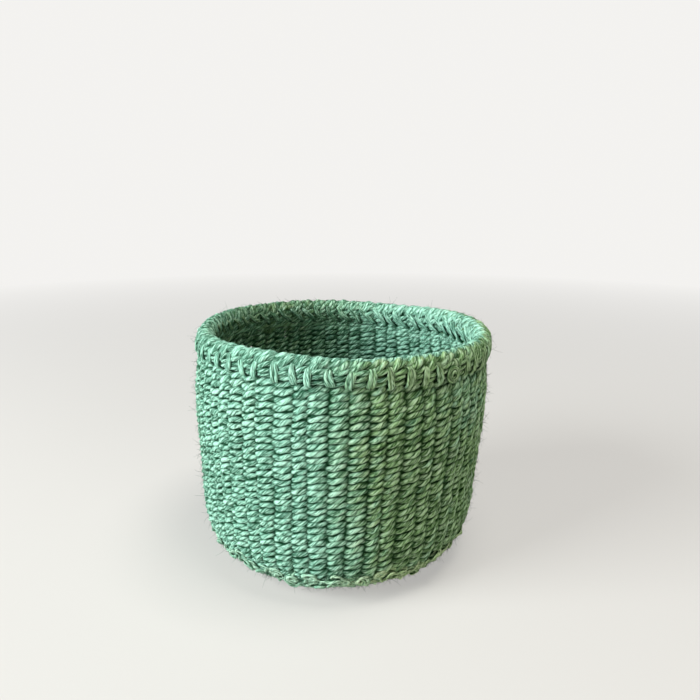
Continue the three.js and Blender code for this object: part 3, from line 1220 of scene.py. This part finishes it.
@dataclass(frozen=True)
class Tuft:
    """Fine fibres that stand off the strands, as thin tapering curves."""

    root: float = 0.075 * MM
    tip: float = 0.03 * MM
    stations: int = 4
    sides: int = 3
    sag: float = 0.15
    curl: float = 0.45
    bend: float = 0.3
    curve: float = 0.6
    across: Triple = (0.31, 0.47, 0.83)
    shades: Pair = (0.35, 1.1)

    def grow(
        self,
        mesh: StrandMesh,
        start: np.ndarray,
        heading: np.ndarray,
        length: np.ndarray,
        olive: np.ndarray,
        rng: np.random.Generator,
    ) -> None:
        """Adds one fibre for each start, but for those that would dip below the base.

        Args:
            mesh: Where the fibres go.
            start: Root points, one row a fibre.
            heading: The way each sets out.
            length: Length of each.
            olive: Share of olive in the green of each.
            rng: Source of the curls.
        """
        share = np.linspace(0, 1, self.stations)[None, :, None]
        heading = unit(heading)
        curl = rng.normal(0, self.curl, start.shape) - np.array([0, 0, self.sag])
        bend = rng.normal(0, self.bend, start.shape)
        reach = heading[:, None] * share + (curl[:, None] + bend[:, None] * share) * share**2 * self.curve
        line = start[:, None] + length[:, None, None] * reach
        above = line[..., 2].min(axis=1) > self.root
        line, heading, length, olive = line[above], heading[above], length[above], olive[above]
        across = unit(np.cross(heading, np.array(self.across)))
        up = np.cross(across, heading)
        turn = np.arange(self.sides) / self.sides * TURN
        ring = np.cos(turn)[None, :, None] * across[:, None] + np.sin(turn)[None, :, None] * up[:, None]
        size = self.root + (self.tip - self.root) * share
        sections = line[:, :, None] + size[..., None] * ring[:, None]
        yarn = np.zeros_like(sections)
        yarn[..., 0] = share * length[:, None, None] / MM + np.arange(len(line))[:, None, None]
        dye = np.ones_like(sections)
        dye[..., 0] = rng.uniform(*self.shades, len(line))[:, None, None]
        dye[..., 2] = olive[:, None, None]
        mesh.add(sections, yarn, dye)


@dataclass
class BaseEdge:
    """The rough looped row where the base turns into the wall."""

    meridian: Meridian
    shape: HandShape
    dye_lot: DyeLot
    ply: Ply = Ply(sides=8, twist_length=13 * MM, lobe_share=0.22, ridge_share=0.12)
    tuft: Tuft = Tuft(root=0.1 * MM)
    place: float = 23.5 * MM
    proud: float = 2.1 * MM
    floor_gap: float = 0.03 * MM
    swell: Jitter = Jitter(0.25, 4.0)
    flatness: float = 0.8
    yarn_start: float = 500
    shades: Pair = (0.3, 1.3)
    unshaded_cosines: Pair = (-0.8, 0.2)
    extra_olive: float = 0.03
    # The strands that lean over the ribs.
    ribs: int = 56
    strand: float = 2.3 * MM
    lean_shares: tuple[float, ...] = (-0.5, -0.34, -0.1, 0.16, 0.36, 0.5)
    height_shares: tuple[float, ...] = (0.1, 0.8, 1.0, 1.0, 0.8, 0.05)
    rises: tuple[float, ...] = (-4.0 * MM, -3.0 * MM, -1.2 * MM, 1.4 * MM, 3.2 * MM, 4.2 * MM)
    lean_steps: int = 4
    lean_slips: Pair = (-0.2, 0.2)
    lean_stretches: Pair = (0.85, 1.25)
    rise_stretches: Pair = (0.7, 1.2)
    rise_slips: Pair = (-0.8 * MM, 0.8 * MM)
    lean_heights: Pair = (0.85, 1.15)
    lean_sizes: Pair = (0.75, 1.1)
    # The small loops.
    loops: int = 215
    loop_radius: float = 2.7 * MM
    loop_points: int = 10
    loop_steps: int = 3
    loop_strand: float = 1.95 * MM
    loop_reaches: Pair = (-5.4 * MM, 5.6 * MM)
    loop_slips: Pair = (-0.4, 0.4)
    loop_sizes: Pair = (0.6, 1.15)
    loop_wobble: float = 0.25
    loop_rises: Pair = (0.6, 1.0)
    loop_widths: Pair = (0.8, 1.4)
    loop_heights: Pair = (0.8, 1.2)
    loop_tilts: Pair = (-0.5, 0.5)
    last_tilt: float = 6.0
    loop_strands: Pair = (0.7, 1.25)
    # The frayed ends.
    frays: int = 2600
    frays_in_tuft: int = 9
    fray_spread: float = 0.02
    fray_lifts: Pair = (0.1, 0.7)
    fray_sweep: float = 0.8
    fray_scatter: float = 0.3
    fray_reaches: Pair = (-7 * MM, 6 * MM)
    fray_lengths: Pair = (0.8 * MM, 2.4 * MM)
    seed: int = 17

    @property
    def home(self) -> float:
        """Length along the meridian at which the row lies."""
        return self.meridian.base_radius + self.place

    def on_fabric(self, angle: np.ndarray, arc: np.ndarray, off: np.ndarray) -> tuple[np.ndarray, np.ndarray]:
        """Points at a height over the fabric, and the outward directions there.

        Args:
            angle: Angles round the axis.
            arc: Lengths along the meridian.
            off: Heights over the middle of the fabric.

        Returns:
            Points and outward directions, one row each.
        """
        radius, level, out_radius, out_level = self.meridian.point(arc)
        points = cylinder_to_space(angle, radius + off * out_radius, level + off * out_level)
        return points, cylinder_to_space(angle, out_radius, out_level)

    def dress(
        self,
        mesh: StrandMesh,
        line: np.ndarray,
        faces: np.ndarray,
        size: float,
        loop: bool,
        olive: float,
        rng: np.random.Generator,
    ) -> None:
        """Spins one short strand and adds it.

        Args:
            mesh: Where it goes.
            line: Its middle line.
            faces: Outward directions along it.
            size: Its width.
            loop: True for a closed ring.
            olive: Share of olive in its green.
            rng: Source of its unevenness.
        """
        width = size * (1 + self.swell.at(np.arange(len(line)), rng))
        sections, yarn, cosine = self.ply.spin(
            self.shape.settle(line), faces, width, width * self.flatness, rng, loop
        )
        sections[..., 2] = np.maximum(sections[..., 2], self.floor_gap * (1 - cosine))
        yarn[..., 0] += rng.uniform(0, self.yarn_start)
        shade = np.full(cosine.shape, rng.uniform(*self.shades))
        # Painted shade on the side of each strand that faces the fabric.
        unshaded = ramp(cosine, *self.unshaded_cosines)
        olives = np.full(cosine.shape, olive + self.extra_olive)
        mesh.add(sections, yarn, np.stack([shade, unshaded, olives], axis=-1), loop)

    def slanted(self, mesh: StrandMesh, rng: np.random.Generator) -> None:
        """Adds the thick strands that lean over each rib.

        Args:
            mesh: Where they go.
            rng: Source of their unevenness.
        """
        leans, heights, rises = (np.array(row) for row in (self.lean_shares, self.height_shares, self.rises))
        for i in range(self.ribs):
            place = i + rng.uniform(*self.lean_slips) + leans * rng.uniform(*self.lean_stretches)
            angle = place * TURN / self.ribs
            arc = self.home + rises * rng.uniform(*self.rise_stretches) + rng.uniform(*self.rise_slips)
            off = heights * self.proud * rng.uniform(*self.lean_heights)
            line, faces = self.on_fabric(angle, arc, off)
            olive = float(self.dye_lot.olive(angle[2], arc[2]))
            size = self.strand * rng.uniform(*self.lean_sizes)
            line, faces = (spline(row, self.lean_steps) for row in (line, faces))
            self.dress(mesh, line, faces, size, False, olive, rng)

    def rings(self, mesh: StrandMesh, rng: np.random.Generator) -> None:
        """Adds the small loops along the lower edge.

        Args:
            mesh: Where they go.
            rng: Source of their places and shapes.
        """
        turn = np.arange(self.loop_points) / self.loop_points * TURN
        for i in range(self.loops):
            middle = (i + rng.uniform(*self.loop_slips)) * TURN / self.loops
            home = self.home + rng.uniform(*self.loop_reaches)
            size = self.loop_radius * rng.uniform(*self.loop_sizes)
            wobble = size * (1 + self.loop_wobble * np.sin(2 * turn + rng.uniform(0, TURN)))
            arc = home + wobble * np.sin(turn) * rng.uniform(*self.loop_rises)
            angle = middle + wobble * np.cos(turn) * rng.uniform(*self.loop_widths) / self.home
            off = self.proud * rng.uniform(*self.loop_heights)
            off = off + size * rng.uniform(*self.loop_tilts) * np.sin(turn + rng.uniform(0, self.last_tilt))
            line, faces = self.on_fabric(angle, arc, off)
            olive = float(self.dye_lot.olive(middle, home))
            strand = self.loop_strand * rng.uniform(*self.loop_strands)
            line, faces = (spline(row, self.loop_steps, loop=True) for row in (line, faces))
            self.dress(mesh, line, faces, strand, True, olive, rng)

    def frayed(self, mesh: StrandMesh, rng: np.random.Generator) -> None:
        """Adds the frayed ends, in tufts.

        Args:
            mesh: Where they go.
            rng: Source of their places and headings.
        """
        tufts = rng.uniform(0, TURN, self.frays // self.frays_in_tuft).repeat(self.frays_in_tuft)
        count = len(tufts)
        angle = tufts + rng.normal(0, self.fray_spread, count)
        arc = self.home + rng.uniform(*self.fray_reaches, count)
        start, faces = self.on_fabric(angle, arc, np.full(count, self.proud))
        sideways = cylinder_to_space(angle + math.pi / 2, np.ones(count), np.zeros(count))
        heading = faces * rng.uniform(*self.fray_lifts, (count, 1))
        heading = heading + sideways * rng.normal(0, self.fray_sweep, (count, 1))
        heading = heading + rng.normal(0, self.fray_scatter, heading.shape)
        length = rng.uniform(*self.fray_lengths, count)
        olive = self.dye_lot.olive(angle, arc) + self.extra_olive
        self.tuft.grow(mesh, self.shape.settle(start), heading, length, olive, rng)

    def build(self, material: bpy.types.Material) -> bpy.types.Object:
        """Makes the row, its loops and its frayed ends as one piece.

        Args:
            material: Finish of the row.

        Returns:
            The piece.
        """
        rng = np.random.default_rng(self.seed)
        mesh = StrandMesh("base_edge")
        self.slanted(mesh, rng)
        self.rings(mesh, rng)
        self.frayed(mesh, rng)
        return mesh.build(material, Slot.WEFT, [])


@dataclass(frozen=True)
class Stray:
    """One kind of loose fibre: how many, how long in millimetres, and how it stands."""

    name: str
    count: int
    shortest: float
    longest: float
    lift: float
    spread: float
    tuft: Tuft = Tuft()


@dataclass
class StrayFibres:
    """Loose fibres over the whole weave."""

    spiral: WeftSpiral
    kinds: tuple[Stray, ...] = (
        Stray("lying_fibres", 9000, 2, 5, 0.07, 0.45),
        Stray("standing_fibres", 7500, 0.7, 1.5, 0.45, 0.6),
        Stray("long_fibres", 36, 1.8, 3.4, 0.4, 0.5, Tuft(stations=7)),
    )
    root_height: float = 1.15 * MM
    seed: int = 23

    def roots(self, rng: np.random.Generator, count: int) -> tuple[np.ndarray, ...]:
        """Chooses places on the beads for fibres to start from.

        Args:
            rng: Source of the choice.
            count: Number of fibres.

        Returns:
            Root points, directions along the strand, outward directions, and
            the share of olive there.
        """
        rows = []
        for zone, first, last in self.spiral.zone_rows():
            if zone is Zone.BASE:
                continue
            for parity in (0, 1):
                sections, _, dye, facing = self.spiral.strand(first, last, parity)
                middle = sections.mean(axis=1)
                along = unit(np.gradient(middle, axis=0))
                rows.append(np.concatenate([middle, along, unit(facing), dye[:, 0, 2:]], axis=1))
        places = np.concatenate(rows)
        chosen = places[rng.choice(len(places), count, replace=False)]
        return chosen[:, :3], chosen[:, 3:6], chosen[:, 6:9], chosen[:, 9]

    def build(self, material: bpy.types.Material) -> list[bpy.types.Object]:
        """Makes fibres that lie on the beads, short ones that stand up, and a few long ones.

        Args:
            material: Finish of the fibres.

        Returns:
            One piece for each kind.
        """
        rng = np.random.default_rng(self.seed)
        pieces = []
        for kind in self.kinds:
            mesh = StrandMesh(kind.name)
            place, along, facing, olive = self.roots(rng, kind.count)
            way = along * rng.choice((-1, 1), (kind.count, 1)) + rng.normal(0, kind.spread, place.shape)
            heading = unit(way) + facing * rng.uniform(0, 2 * kind.lift, (kind.count, 1))
            length = rng.uniform(kind.shortest, kind.longest, kind.count) * MM
            kind.tuft.grow(mesh, place + facing * self.root_height, heading, length, olive, rng)
            pieces.append(mesh.build(material, Slot.WEFT, []))
        return pieces


class Desk:
    """Adds nodes to one node tree and links them."""

    def __init__(self, tree: bpy.types.NodeTree) -> None:
        """Takes the tree to work on."""
        self.tree = tree

    def node(self, kind: str, **inputs: object) -> bpy.types.Node:
        """Adds a node and fills its inputs by name.

        Args:
            kind: Blender's name of the node type.
            inputs: A value or an output socket for each named input, with
                underscores for spaces.

        Returns:
            The new node.
        """
        node = self.tree.nodes.new(kind)
        for name, value in inputs.items():
            self.feed(node.inputs[name.replace("_", " ")], value)
        return node

    def feed(self, socket: bpy.types.NodeSocket, value: object) -> None:
        """Links an output to a socket, or sets the socket's own value.

        Args:
            socket: The input.
            value: A value or an output socket.
        """
        if isinstance(value, bpy.types.NodeSocket):
            self.tree.links.new(value, socket)
        else:
            socket.default_value = value

    def math(self, operation: str, *values: object) -> bpy.types.NodeSocket:
        """Adds a Math node.

        Args:
            operation: Its operation.
            values: A value or an output socket for each of its inputs.

        Returns:
            Its output.
        """
        node = self.tree.nodes.new("ShaderNodeMath")
        node.operation = operation
        for socket, value in zip(node.inputs, values):
            self.feed(socket, value)
        return node.outputs[0]

    def blend(self, share: object, first: object, second: object) -> bpy.types.NodeSocket:
        """Mixes two colours.

        Args:
            share: Share of the second colour.
            first: First colour.
            second: Second colour.

        Returns:
            The mixed colour.
        """
        node = self.tree.nodes.new("ShaderNodeMix")
        node.data_type = "RGBA"
        for socket, value in zip(MIX_INPUTS, (share, first, second)):
            self.feed(node.inputs[socket], value)
        return node.outputs[MIX_OUTPUT]

    def span(self, value: object, low: float, high: float, start: float, end: float) -> bpy.types.NodeSocket:
        """Maps a value from one range to another and keeps it there.

        Args:
            value: What is mapped.
            low: Value that gives the start.
            high: Value that gives the end.
            start: Start of the new range.
            end: End of the new range.

        Returns:
            The mapped value.
        """
        node = self.node("ShaderNodeMapRange", From_Min=low, From_Max=high, To_Min=start, To_Max=end)
        self.feed(node.inputs["Value"], value)
        return node.outputs["Result"]

    def mix_shaders(
        self, share: object, first: bpy.types.Node, second: bpy.types.Node
    ) -> bpy.types.NodeSocket:
        """Mixes two shaders.

        Args:
            share: Share of the second shader.
            first: Node of the first shader.
            second: Node of the second shader.

        Returns:
            The mixed shader.
        """
        mix = self.node("ShaderNodeMixShader", Fac=share)
        self.feed(mix.inputs[1], first.outputs[0])
        self.feed(mix.inputs[2], second.outputs[0])
        return mix.outputs[0]


@dataclass(frozen=True)
class Streak:
    """Noise drawn out along the plies: how fine it is along and around them, and its detail."""

    along: float
    around: float
    detail: float = 1.0
    shade_shift: float = 3.0

    def noise(
        self, desk: Desk, shade: bpy.types.NodeSocket, place: list[bpy.types.NodeSocket]
    ) -> bpy.types.NodeSocket:
        """Adds the noise to a node tree.

        Args:
            desk: The tree's desk.
            shade: Shade of the strand, which shifts the noise from strand to strand.
            place: Length along the strand, and cosine and sine of the place round the plies.

        Returns:
            The noise, from 0 to 1.
        """
        length, cosine, sine = place
        along = desk.math("MULTIPLY", length, self.along)
        y, z = (desk.math("MULTIPLY", part, self.around) for part in (cosine, sine))
        x = desk.math("MULTIPLY_ADD", shade, self.shade_shift, along)
        vector = desk.node("ShaderNodeCombineXYZ", X=x, Y=y, Z=z).outputs[0]
        return desk.node("ShaderNodeTexNoise", Vector=vector, Scale=1.0, Detail=self.detail).outputs[0]


@dataclass(frozen=True)
class SisalFibre:
    """The look that all the sisal shares: where its two dyes go pale and dark, and the shade painted into ply
    grooves and crevices.
    """

    coarse: Streak = Streak(0.18, 0.9, 2.0)
    fibre: Streak = Streak(0.4, 2.5)
    fine: Streak = Streak(0.6, 5.5)
    drift: Streak = Streak(0.035, 0.35)
    drift_gain: Pair = (1.6, 0.2)
    olive_fade: Fade = (0.08, 0.85, 0, 1)
    tone_gain: Pair = (1.3, -0.65)
    pale_fade: Fade = (0.5, 1.15, 0, 0.8)
    dark_tone_fade: Fade = (0.45, -0.15, 0, 0.6)
    fine_share: float = 0.3
    fibre_share: float = 0.7
    bright_fade: Fade = (0.51, 0.62, 0, 0.85)
    dark_fade: Fade = (0.39, 0.49, 0.85, 0)
    groove_shade_fade: Fade = (0.0, 0.45, 0.9, 0)
    crevice_shade_fade: Fade = (0.1, 0.95, 0.97, 0)
    rough_fade: Fade = (0.35, 0.65, 0.85, 0.6)
    grain_height: float = 0.8
    coarse_height: float = 0.3

    def group(self) -> bpy.types.NodeTree:
        """Builds the shared shader group that turns yarn and dye into sisal.

        Returns:
            A node group with the plain, deep and pale colours of two dyes as
            inputs, and a colour, a roughness and a height as outputs.
        """
        tree = bpy.data.node_groups.new("sisal_fibre", "ShaderNodeTree")
        face = tree.interface
        for name in ("Mint", "Mint Deep", "Mint Pale", "Olive", "Olive Deep", "Olive Pale"):
            face.new_socket(name, in_out="INPUT", socket_type="NodeSocketColor")
        face.new_socket("Color", in_out="OUTPUT", socket_type="NodeSocketColor")
        face.new_socket("Roughness", in_out="OUTPUT", socket_type="NodeSocketFloat")
        face.new_socket("Height", in_out="OUTPUT", socket_type="NodeSocketFloat")
        desk = Desk(tree)
        colours = desk.node("NodeGroupInput").outputs
        place, dye = (self.stored(desk, name) for name in (YARN, DYE))
        shade, crown, olive = dye
        coarse, fibre, fine, drift = (
            streak.noise(desk, shade, place) for streak in (self.coarse, self.fibre, self.fine, self.drift)
        )
        uneven = desk.math("MULTIPLY", olive, desk.math("MULTIPLY_ADD", drift, *self.drift_gain))
        share = desk.span(uneven, *self.olive_fade)
        plain, deep, light = (
            desk.blend(share, colours["Mint" + kind], colours["Olive" + kind])
            for kind in ("", " Deep", " Pale")
        )
        # Tone of the strand: its random tone and the light and shade painted on parts of the basket; low tone
        # goes dark, high tone pale.
        tone_and_shade = desk.math("ADD", shade, desk.math("MULTIPLY_ADD", coarse, *self.tone_gain))
        grain = desk.math("MULTIPLY", fibre, self.fibre_share)
        grain = desk.math("MULTIPLY_ADD", fine, self.fine_share, grain)
        groove = desk.math("ABSOLUTE", place[1])
        colour = desk.blend(desk.span(tone_and_shade, *self.pale_fade), plain, light)
        colour = desk.blend(desk.span(tone_and_shade, *self.dark_tone_fade), colour, deep)
        colour = desk.blend(desk.span(grain, *self.bright_fade), colour, light)
        # Dark fibre streaks, then painted shade in the grooves between the plies and in the crevices between
        # the beads.
        for value, fade in ((grain, self.dark_fade), (groove, self.groove_shade_fade), (crown, self.crevice_shade_fade)):
            colour = desk.blend(desk.span(value, *fade), colour, deep)
        rough = desk.span(grain, *self.rough_fade)
        high = desk.math("MULTIPLY", coarse, self.coarse_height)
        height = desk.math("MULTIPLY_ADD", grain, self.grain_height, high)
        desk.node("NodeGroupOutput", Color=colour, Roughness=rough, Height=height)
        return tree

    def stored(self, desk: Desk, name: str) -> list[bpy.types.NodeSocket]:
        """Reads three numbers that the mesh carries.

        Args:
            desk: The desk of the node tree that reads them.
            name: Name of the attribute.

        Returns:
            The three numbers.
        """
        source = desk.node("ShaderNodeAttribute")
        source.attribute_name = name
        return list(desk.node("ShaderNodeSeparateXYZ", Vector=source.outputs["Vector"]).outputs)


@dataclass(frozen=True)
class Dye:
    """One dye: its colour on plain fibre, a dark colour for dark fibre and painted shade, and a pale one for
    pale fibre.
    """

    plain: Triple
    deep: Triple
    pale: Triple


@dataclass(frozen=True)
class SisalFinish:
    """One finish of dyed sisal, which runs from mint to olive."""

    name: str
    mint: Dye
    olive: Dye
    bump: float = 0.8
    bump_depth: float = 0.5 * MM
    gloss: float = 0.05

    def make(self, group: bpy.types.NodeTree) -> bpy.types.Material:
        """Builds the material.

        Args:
            group: The shared sisal group.

        Returns:
            The finished material.
        """
        material, desk = fresh_material(self.name)
        fibre = desk.node("ShaderNodeGroup")
        fibre.node_tree = group
        for name, dye in (("Mint", self.mint), ("Olive", self.olive)):
            for kind, colour in (("", dye.plain), (" Deep", dye.deep), (" Pale", dye.pale)):
                fibre.inputs[name + kind].default_value = (*colour, 1.0)
        height = fibre.outputs["Height"]
        bump = desk.node("ShaderNodeBump", Strength=self.bump, Distance=self.bump_depth, Height=height)
        shader = desk.node(
            "ShaderNodeBsdfPrincipled",
            Base_Color=fibre.outputs["Color"],
            Roughness=fibre.outputs["Roughness"],
            Normal=bump.outputs["Normal"],
            Specular_IOR_Level=self.gloss,
        )
        desk.node("ShaderNodeOutputMaterial", Surface=shader.outputs["BSDF"])
        return material


def fresh_material(name: str) -> tuple[bpy.types.Material, Desk]:
    """Makes a material with an empty node tree.

    Args:
        name: Its name.

    Returns:
        The material and the desk of its tree.
    """
    material = bpy.data.materials.new(name)
    material.use_nodes = True
    material.node_tree.nodes.clear()
    return material, Desk(material.node_tree)


# Each dye: plain colour, a dark colour for dark fibre and for the shade painted into crevices and ply
# grooves, and a pale colour.
WEFT_SISAL = SisalFinish(
    "mint_sisal",
    Dye((0.27, 0.56, 0.43), (0.003, 0.05, 0.018), (0.48, 0.79, 0.64)),
    Dye((0.225, 0.39, 0.17), (0.005, 0.032, 0.005), (0.42, 0.575, 0.39)),
)
LASHING_SISAL = SisalFinish(
    "pale_sisal",
    Dye((0.26, 0.545, 0.42), (0.004, 0.06, 0.025), (0.45, 0.74, 0.595)),
    Dye((0.24, 0.385, 0.18), (0.006, 0.035, 0.006), (0.40, 0.54, 0.36)),
)
WARP_SISAL = SisalFinish(
    "dark_sisal",
    Dye((0.10, 0.32, 0.20), (0.005, 0.05, 0.02), (0.28, 0.50, 0.36)),
    Dye((0.13, 0.22, 0.08), (0.006, 0.03, 0.006), (0.30, 0.40, 0.22)),
)
# Paler than the weft: partly the frayed fibre, partly painted light on the base edge, which the lamps reach
# little.
FRAYED_LIT_SISAL = SisalFinish(
    "frayed_lit_sisal",
    Dye((0.29, 0.56, 0.41), (0.006, 0.06, 0.02), (0.51, 0.78, 0.60)),
    Dye((0.32, 0.48, 0.23), (0.006, 0.04, 0.006), (0.54, 0.68, 0.42)),
)


@dataclass(frozen=True)
class Lamp:
    """A square soft lamp: where it hangs, its size, its power in watts and its colour."""

    name: str
    place: Triple
    size: float
    power: float
    colour: Triple


@dataclass(frozen=True)
class Studio:
    """Pale floor, soft light and the camera."""

    lamps: tuple[Lamp, ...] = (
        Lamp("key_lamp", (-1.04, -0.5, 0.6), 0.7, 28.5, (0.95, 1.0, 1.0)),
        Lamp("top_lamp", (0.25, -0.15, 1.25), 0.5, 11.3, (1.0, 0.98, 0.93)),
        Lamp("fill_lamp", (0.6, -0.9, 0.34), 0.5, 3.8, (1.0, 0.92, 0.8)),
    )
    target: Triple = (0, 0, 0.06)
    world_colour: Triple = (1.0, 0.97, 0.9)
    world_strength: float = 0.036
    camera_place: Triple = (6.2 * MM, -320.9 * MM, 178.7 * MM)
    camera_pitch: float = math.radians(7.14)
    camera_near: float = 0.01
    focal_px: float = 625.0
    frame_px: float = 700.0
    axis_row_px: float = 277.0
    sensor: float = 36.0
    floor_size: float = 14.0
    floor_fade: Fade = (0.25, 1.2, 0.45, 1.0)
    floor_colour: Triple = (0.53, 0.515, 0.49)
    backdrop: Triple = (0.90, 0.89, 0.87)

    def camera(self) -> None:
        """Places the camera and makes it the scene's own."""
        data = bpy.data.cameras.new("camera")
        data.sensor_width = self.sensor
        data.lens = self.focal_px / self.frame_px * self.sensor
        data.shift_y = (self.axis_row_px - self.frame_px / 2) / self.frame_px
        data.clip_start = self.camera_near
        camera = bpy.data.objects.new("camera", data)
        camera.location = self.camera_place
        camera.rotation_euler = (math.pi / 2 - self.camera_pitch, 0, 0)
        bpy.context.scene.collection.objects.link(camera)
        bpy.context.scene.camera = camera

    def hang(self, lamp: Lamp) -> None:
        """Hangs a lamp so that it looks at the basket.

        Args:
            lamp: The lamp.
        """
        data = bpy.data.lights.new(lamp.name, "AREA")
        data.size = lamp.size
        data.energy = lamp.power
        data.color = lamp.colour
        light = bpy.data.objects.new(lamp.name, data)
        light.location = lamp.place
        away = Vector(self.target) - Vector(lamp.place)
        light.rotation_euler = away.to_track_quat("-Z", "Y").to_euler()
        bpy.context.scene.collection.objects.link(light)

    def floor(self) -> None:
        """Lays a plain pale floor under the basket, which fades into the backdrop far away."""
        half = self.floor_size / 2
        mesh = bpy.data.meshes.new("floor")
        corners = [(-half, -half, 0), (half, -half, 0), (half, half, 0), (-half, half, 0)]
        mesh.from_pydata(corners, [], [(0, 1, 2, 3)])
        material, desk = fresh_material("floor_paint")
        place = desk.node("ShaderNodeNewGeometry").outputs["Position"]
        away = desk.node("ShaderNodeVectorMath", Vector=place)
        away.operation = "LENGTH"
        far = desk.span(away.outputs["Value"], *self.floor_fade)
        seen = desk.node("ShaderNodeLightPath").outputs["Is Camera Ray"]
        paint = desk.node("ShaderNodeBsdfDiffuse", Color=(*self.floor_colour, 1.0))
        glow = desk.node("ShaderNodeEmission", Color=(*self.backdrop, 1.0), Strength=1.0)
        surface = desk.mix_shaders(desk.math("MULTIPLY", far, seen), paint, glow)
        desk.node("ShaderNodeOutputMaterial", Surface=surface)
        mesh.materials.append(material)
        floor = bpy.data.objects.new("floor", mesh)
        bpy.context.scene.collection.objects.link(floor)

    def world(self) -> None:
        """Gives the studio a soft light and a pale background."""
        world = bpy.data.worlds.new("studio")
        world.use_nodes = True
        world.node_tree.nodes.clear()
        desk = Desk(world.node_tree)
        colour = (*self.world_colour, 1.0)
        light = desk.node("ShaderNodeBackground", Color=colour, Strength=self.world_strength)
        seen = desk.node("ShaderNodeBackground", Color=(*self.backdrop, 1.0), Strength=1.0)
        path = desk.node("ShaderNodeLightPath").outputs
        mirror = desk.math("MAXIMUM", path["Is Glossy Ray"], path["Is Transmission Ray"])
        direct = desk.math("MAXIMUM", path["Is Camera Ray"], mirror)
        desk.node("ShaderNodeOutputWorld", Surface=desk.mix_shaders(direct, light, seen))
        bpy.context.scene.world = world

    def build(self) -> None:
        """Sets up the whole studio."""
        self.camera()
        self.floor()
        self.world()
        for lamp in self.lamps:
            self.hang(lamp)
        bpy.context.scene.view_settings.view_transform = "Standard"
        LOG.info("studio: camera, floor, soft light and %d lamps", len(self.lamps))


def main() -> None:
    """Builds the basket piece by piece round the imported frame."""
    logging.basicConfig(level=logging.INFO, format="%(name)s: %(message)s")
    low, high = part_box("woven_body")
    lash_low, lash_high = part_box("rim_lashing")
    meridian = Meridian(height=high.z, rim_radius=(high.x - low.x) / 2)
    shape = HandShape(full_height=high.z)
    dye_lot = DyeLot()
    group = SisalFibre().group()
    weft = WEFT_SISAL.make(group)
    spiral = WeftSpiral(meridian, shape, dye_lot)
    spiral.build(weft)
    WarpCords(meridian, shape, dye_lot).build(WARP_SISAL.make(group))
    top, bottom = lash_high.z - HALF_LASHING, lash_low.z + HALF_LASHING
    RimLashing(shape, dye_lot, top, bottom).build(LASHING_SISAL.make(group))
    BaseEdge(meridian, shape, dye_lot).build(FRAYED_LIT_SISAL.make(group))
    StrayFibres(spiral).build(weft)
    Studio().build()


if __name__ == "__main__":
    main()
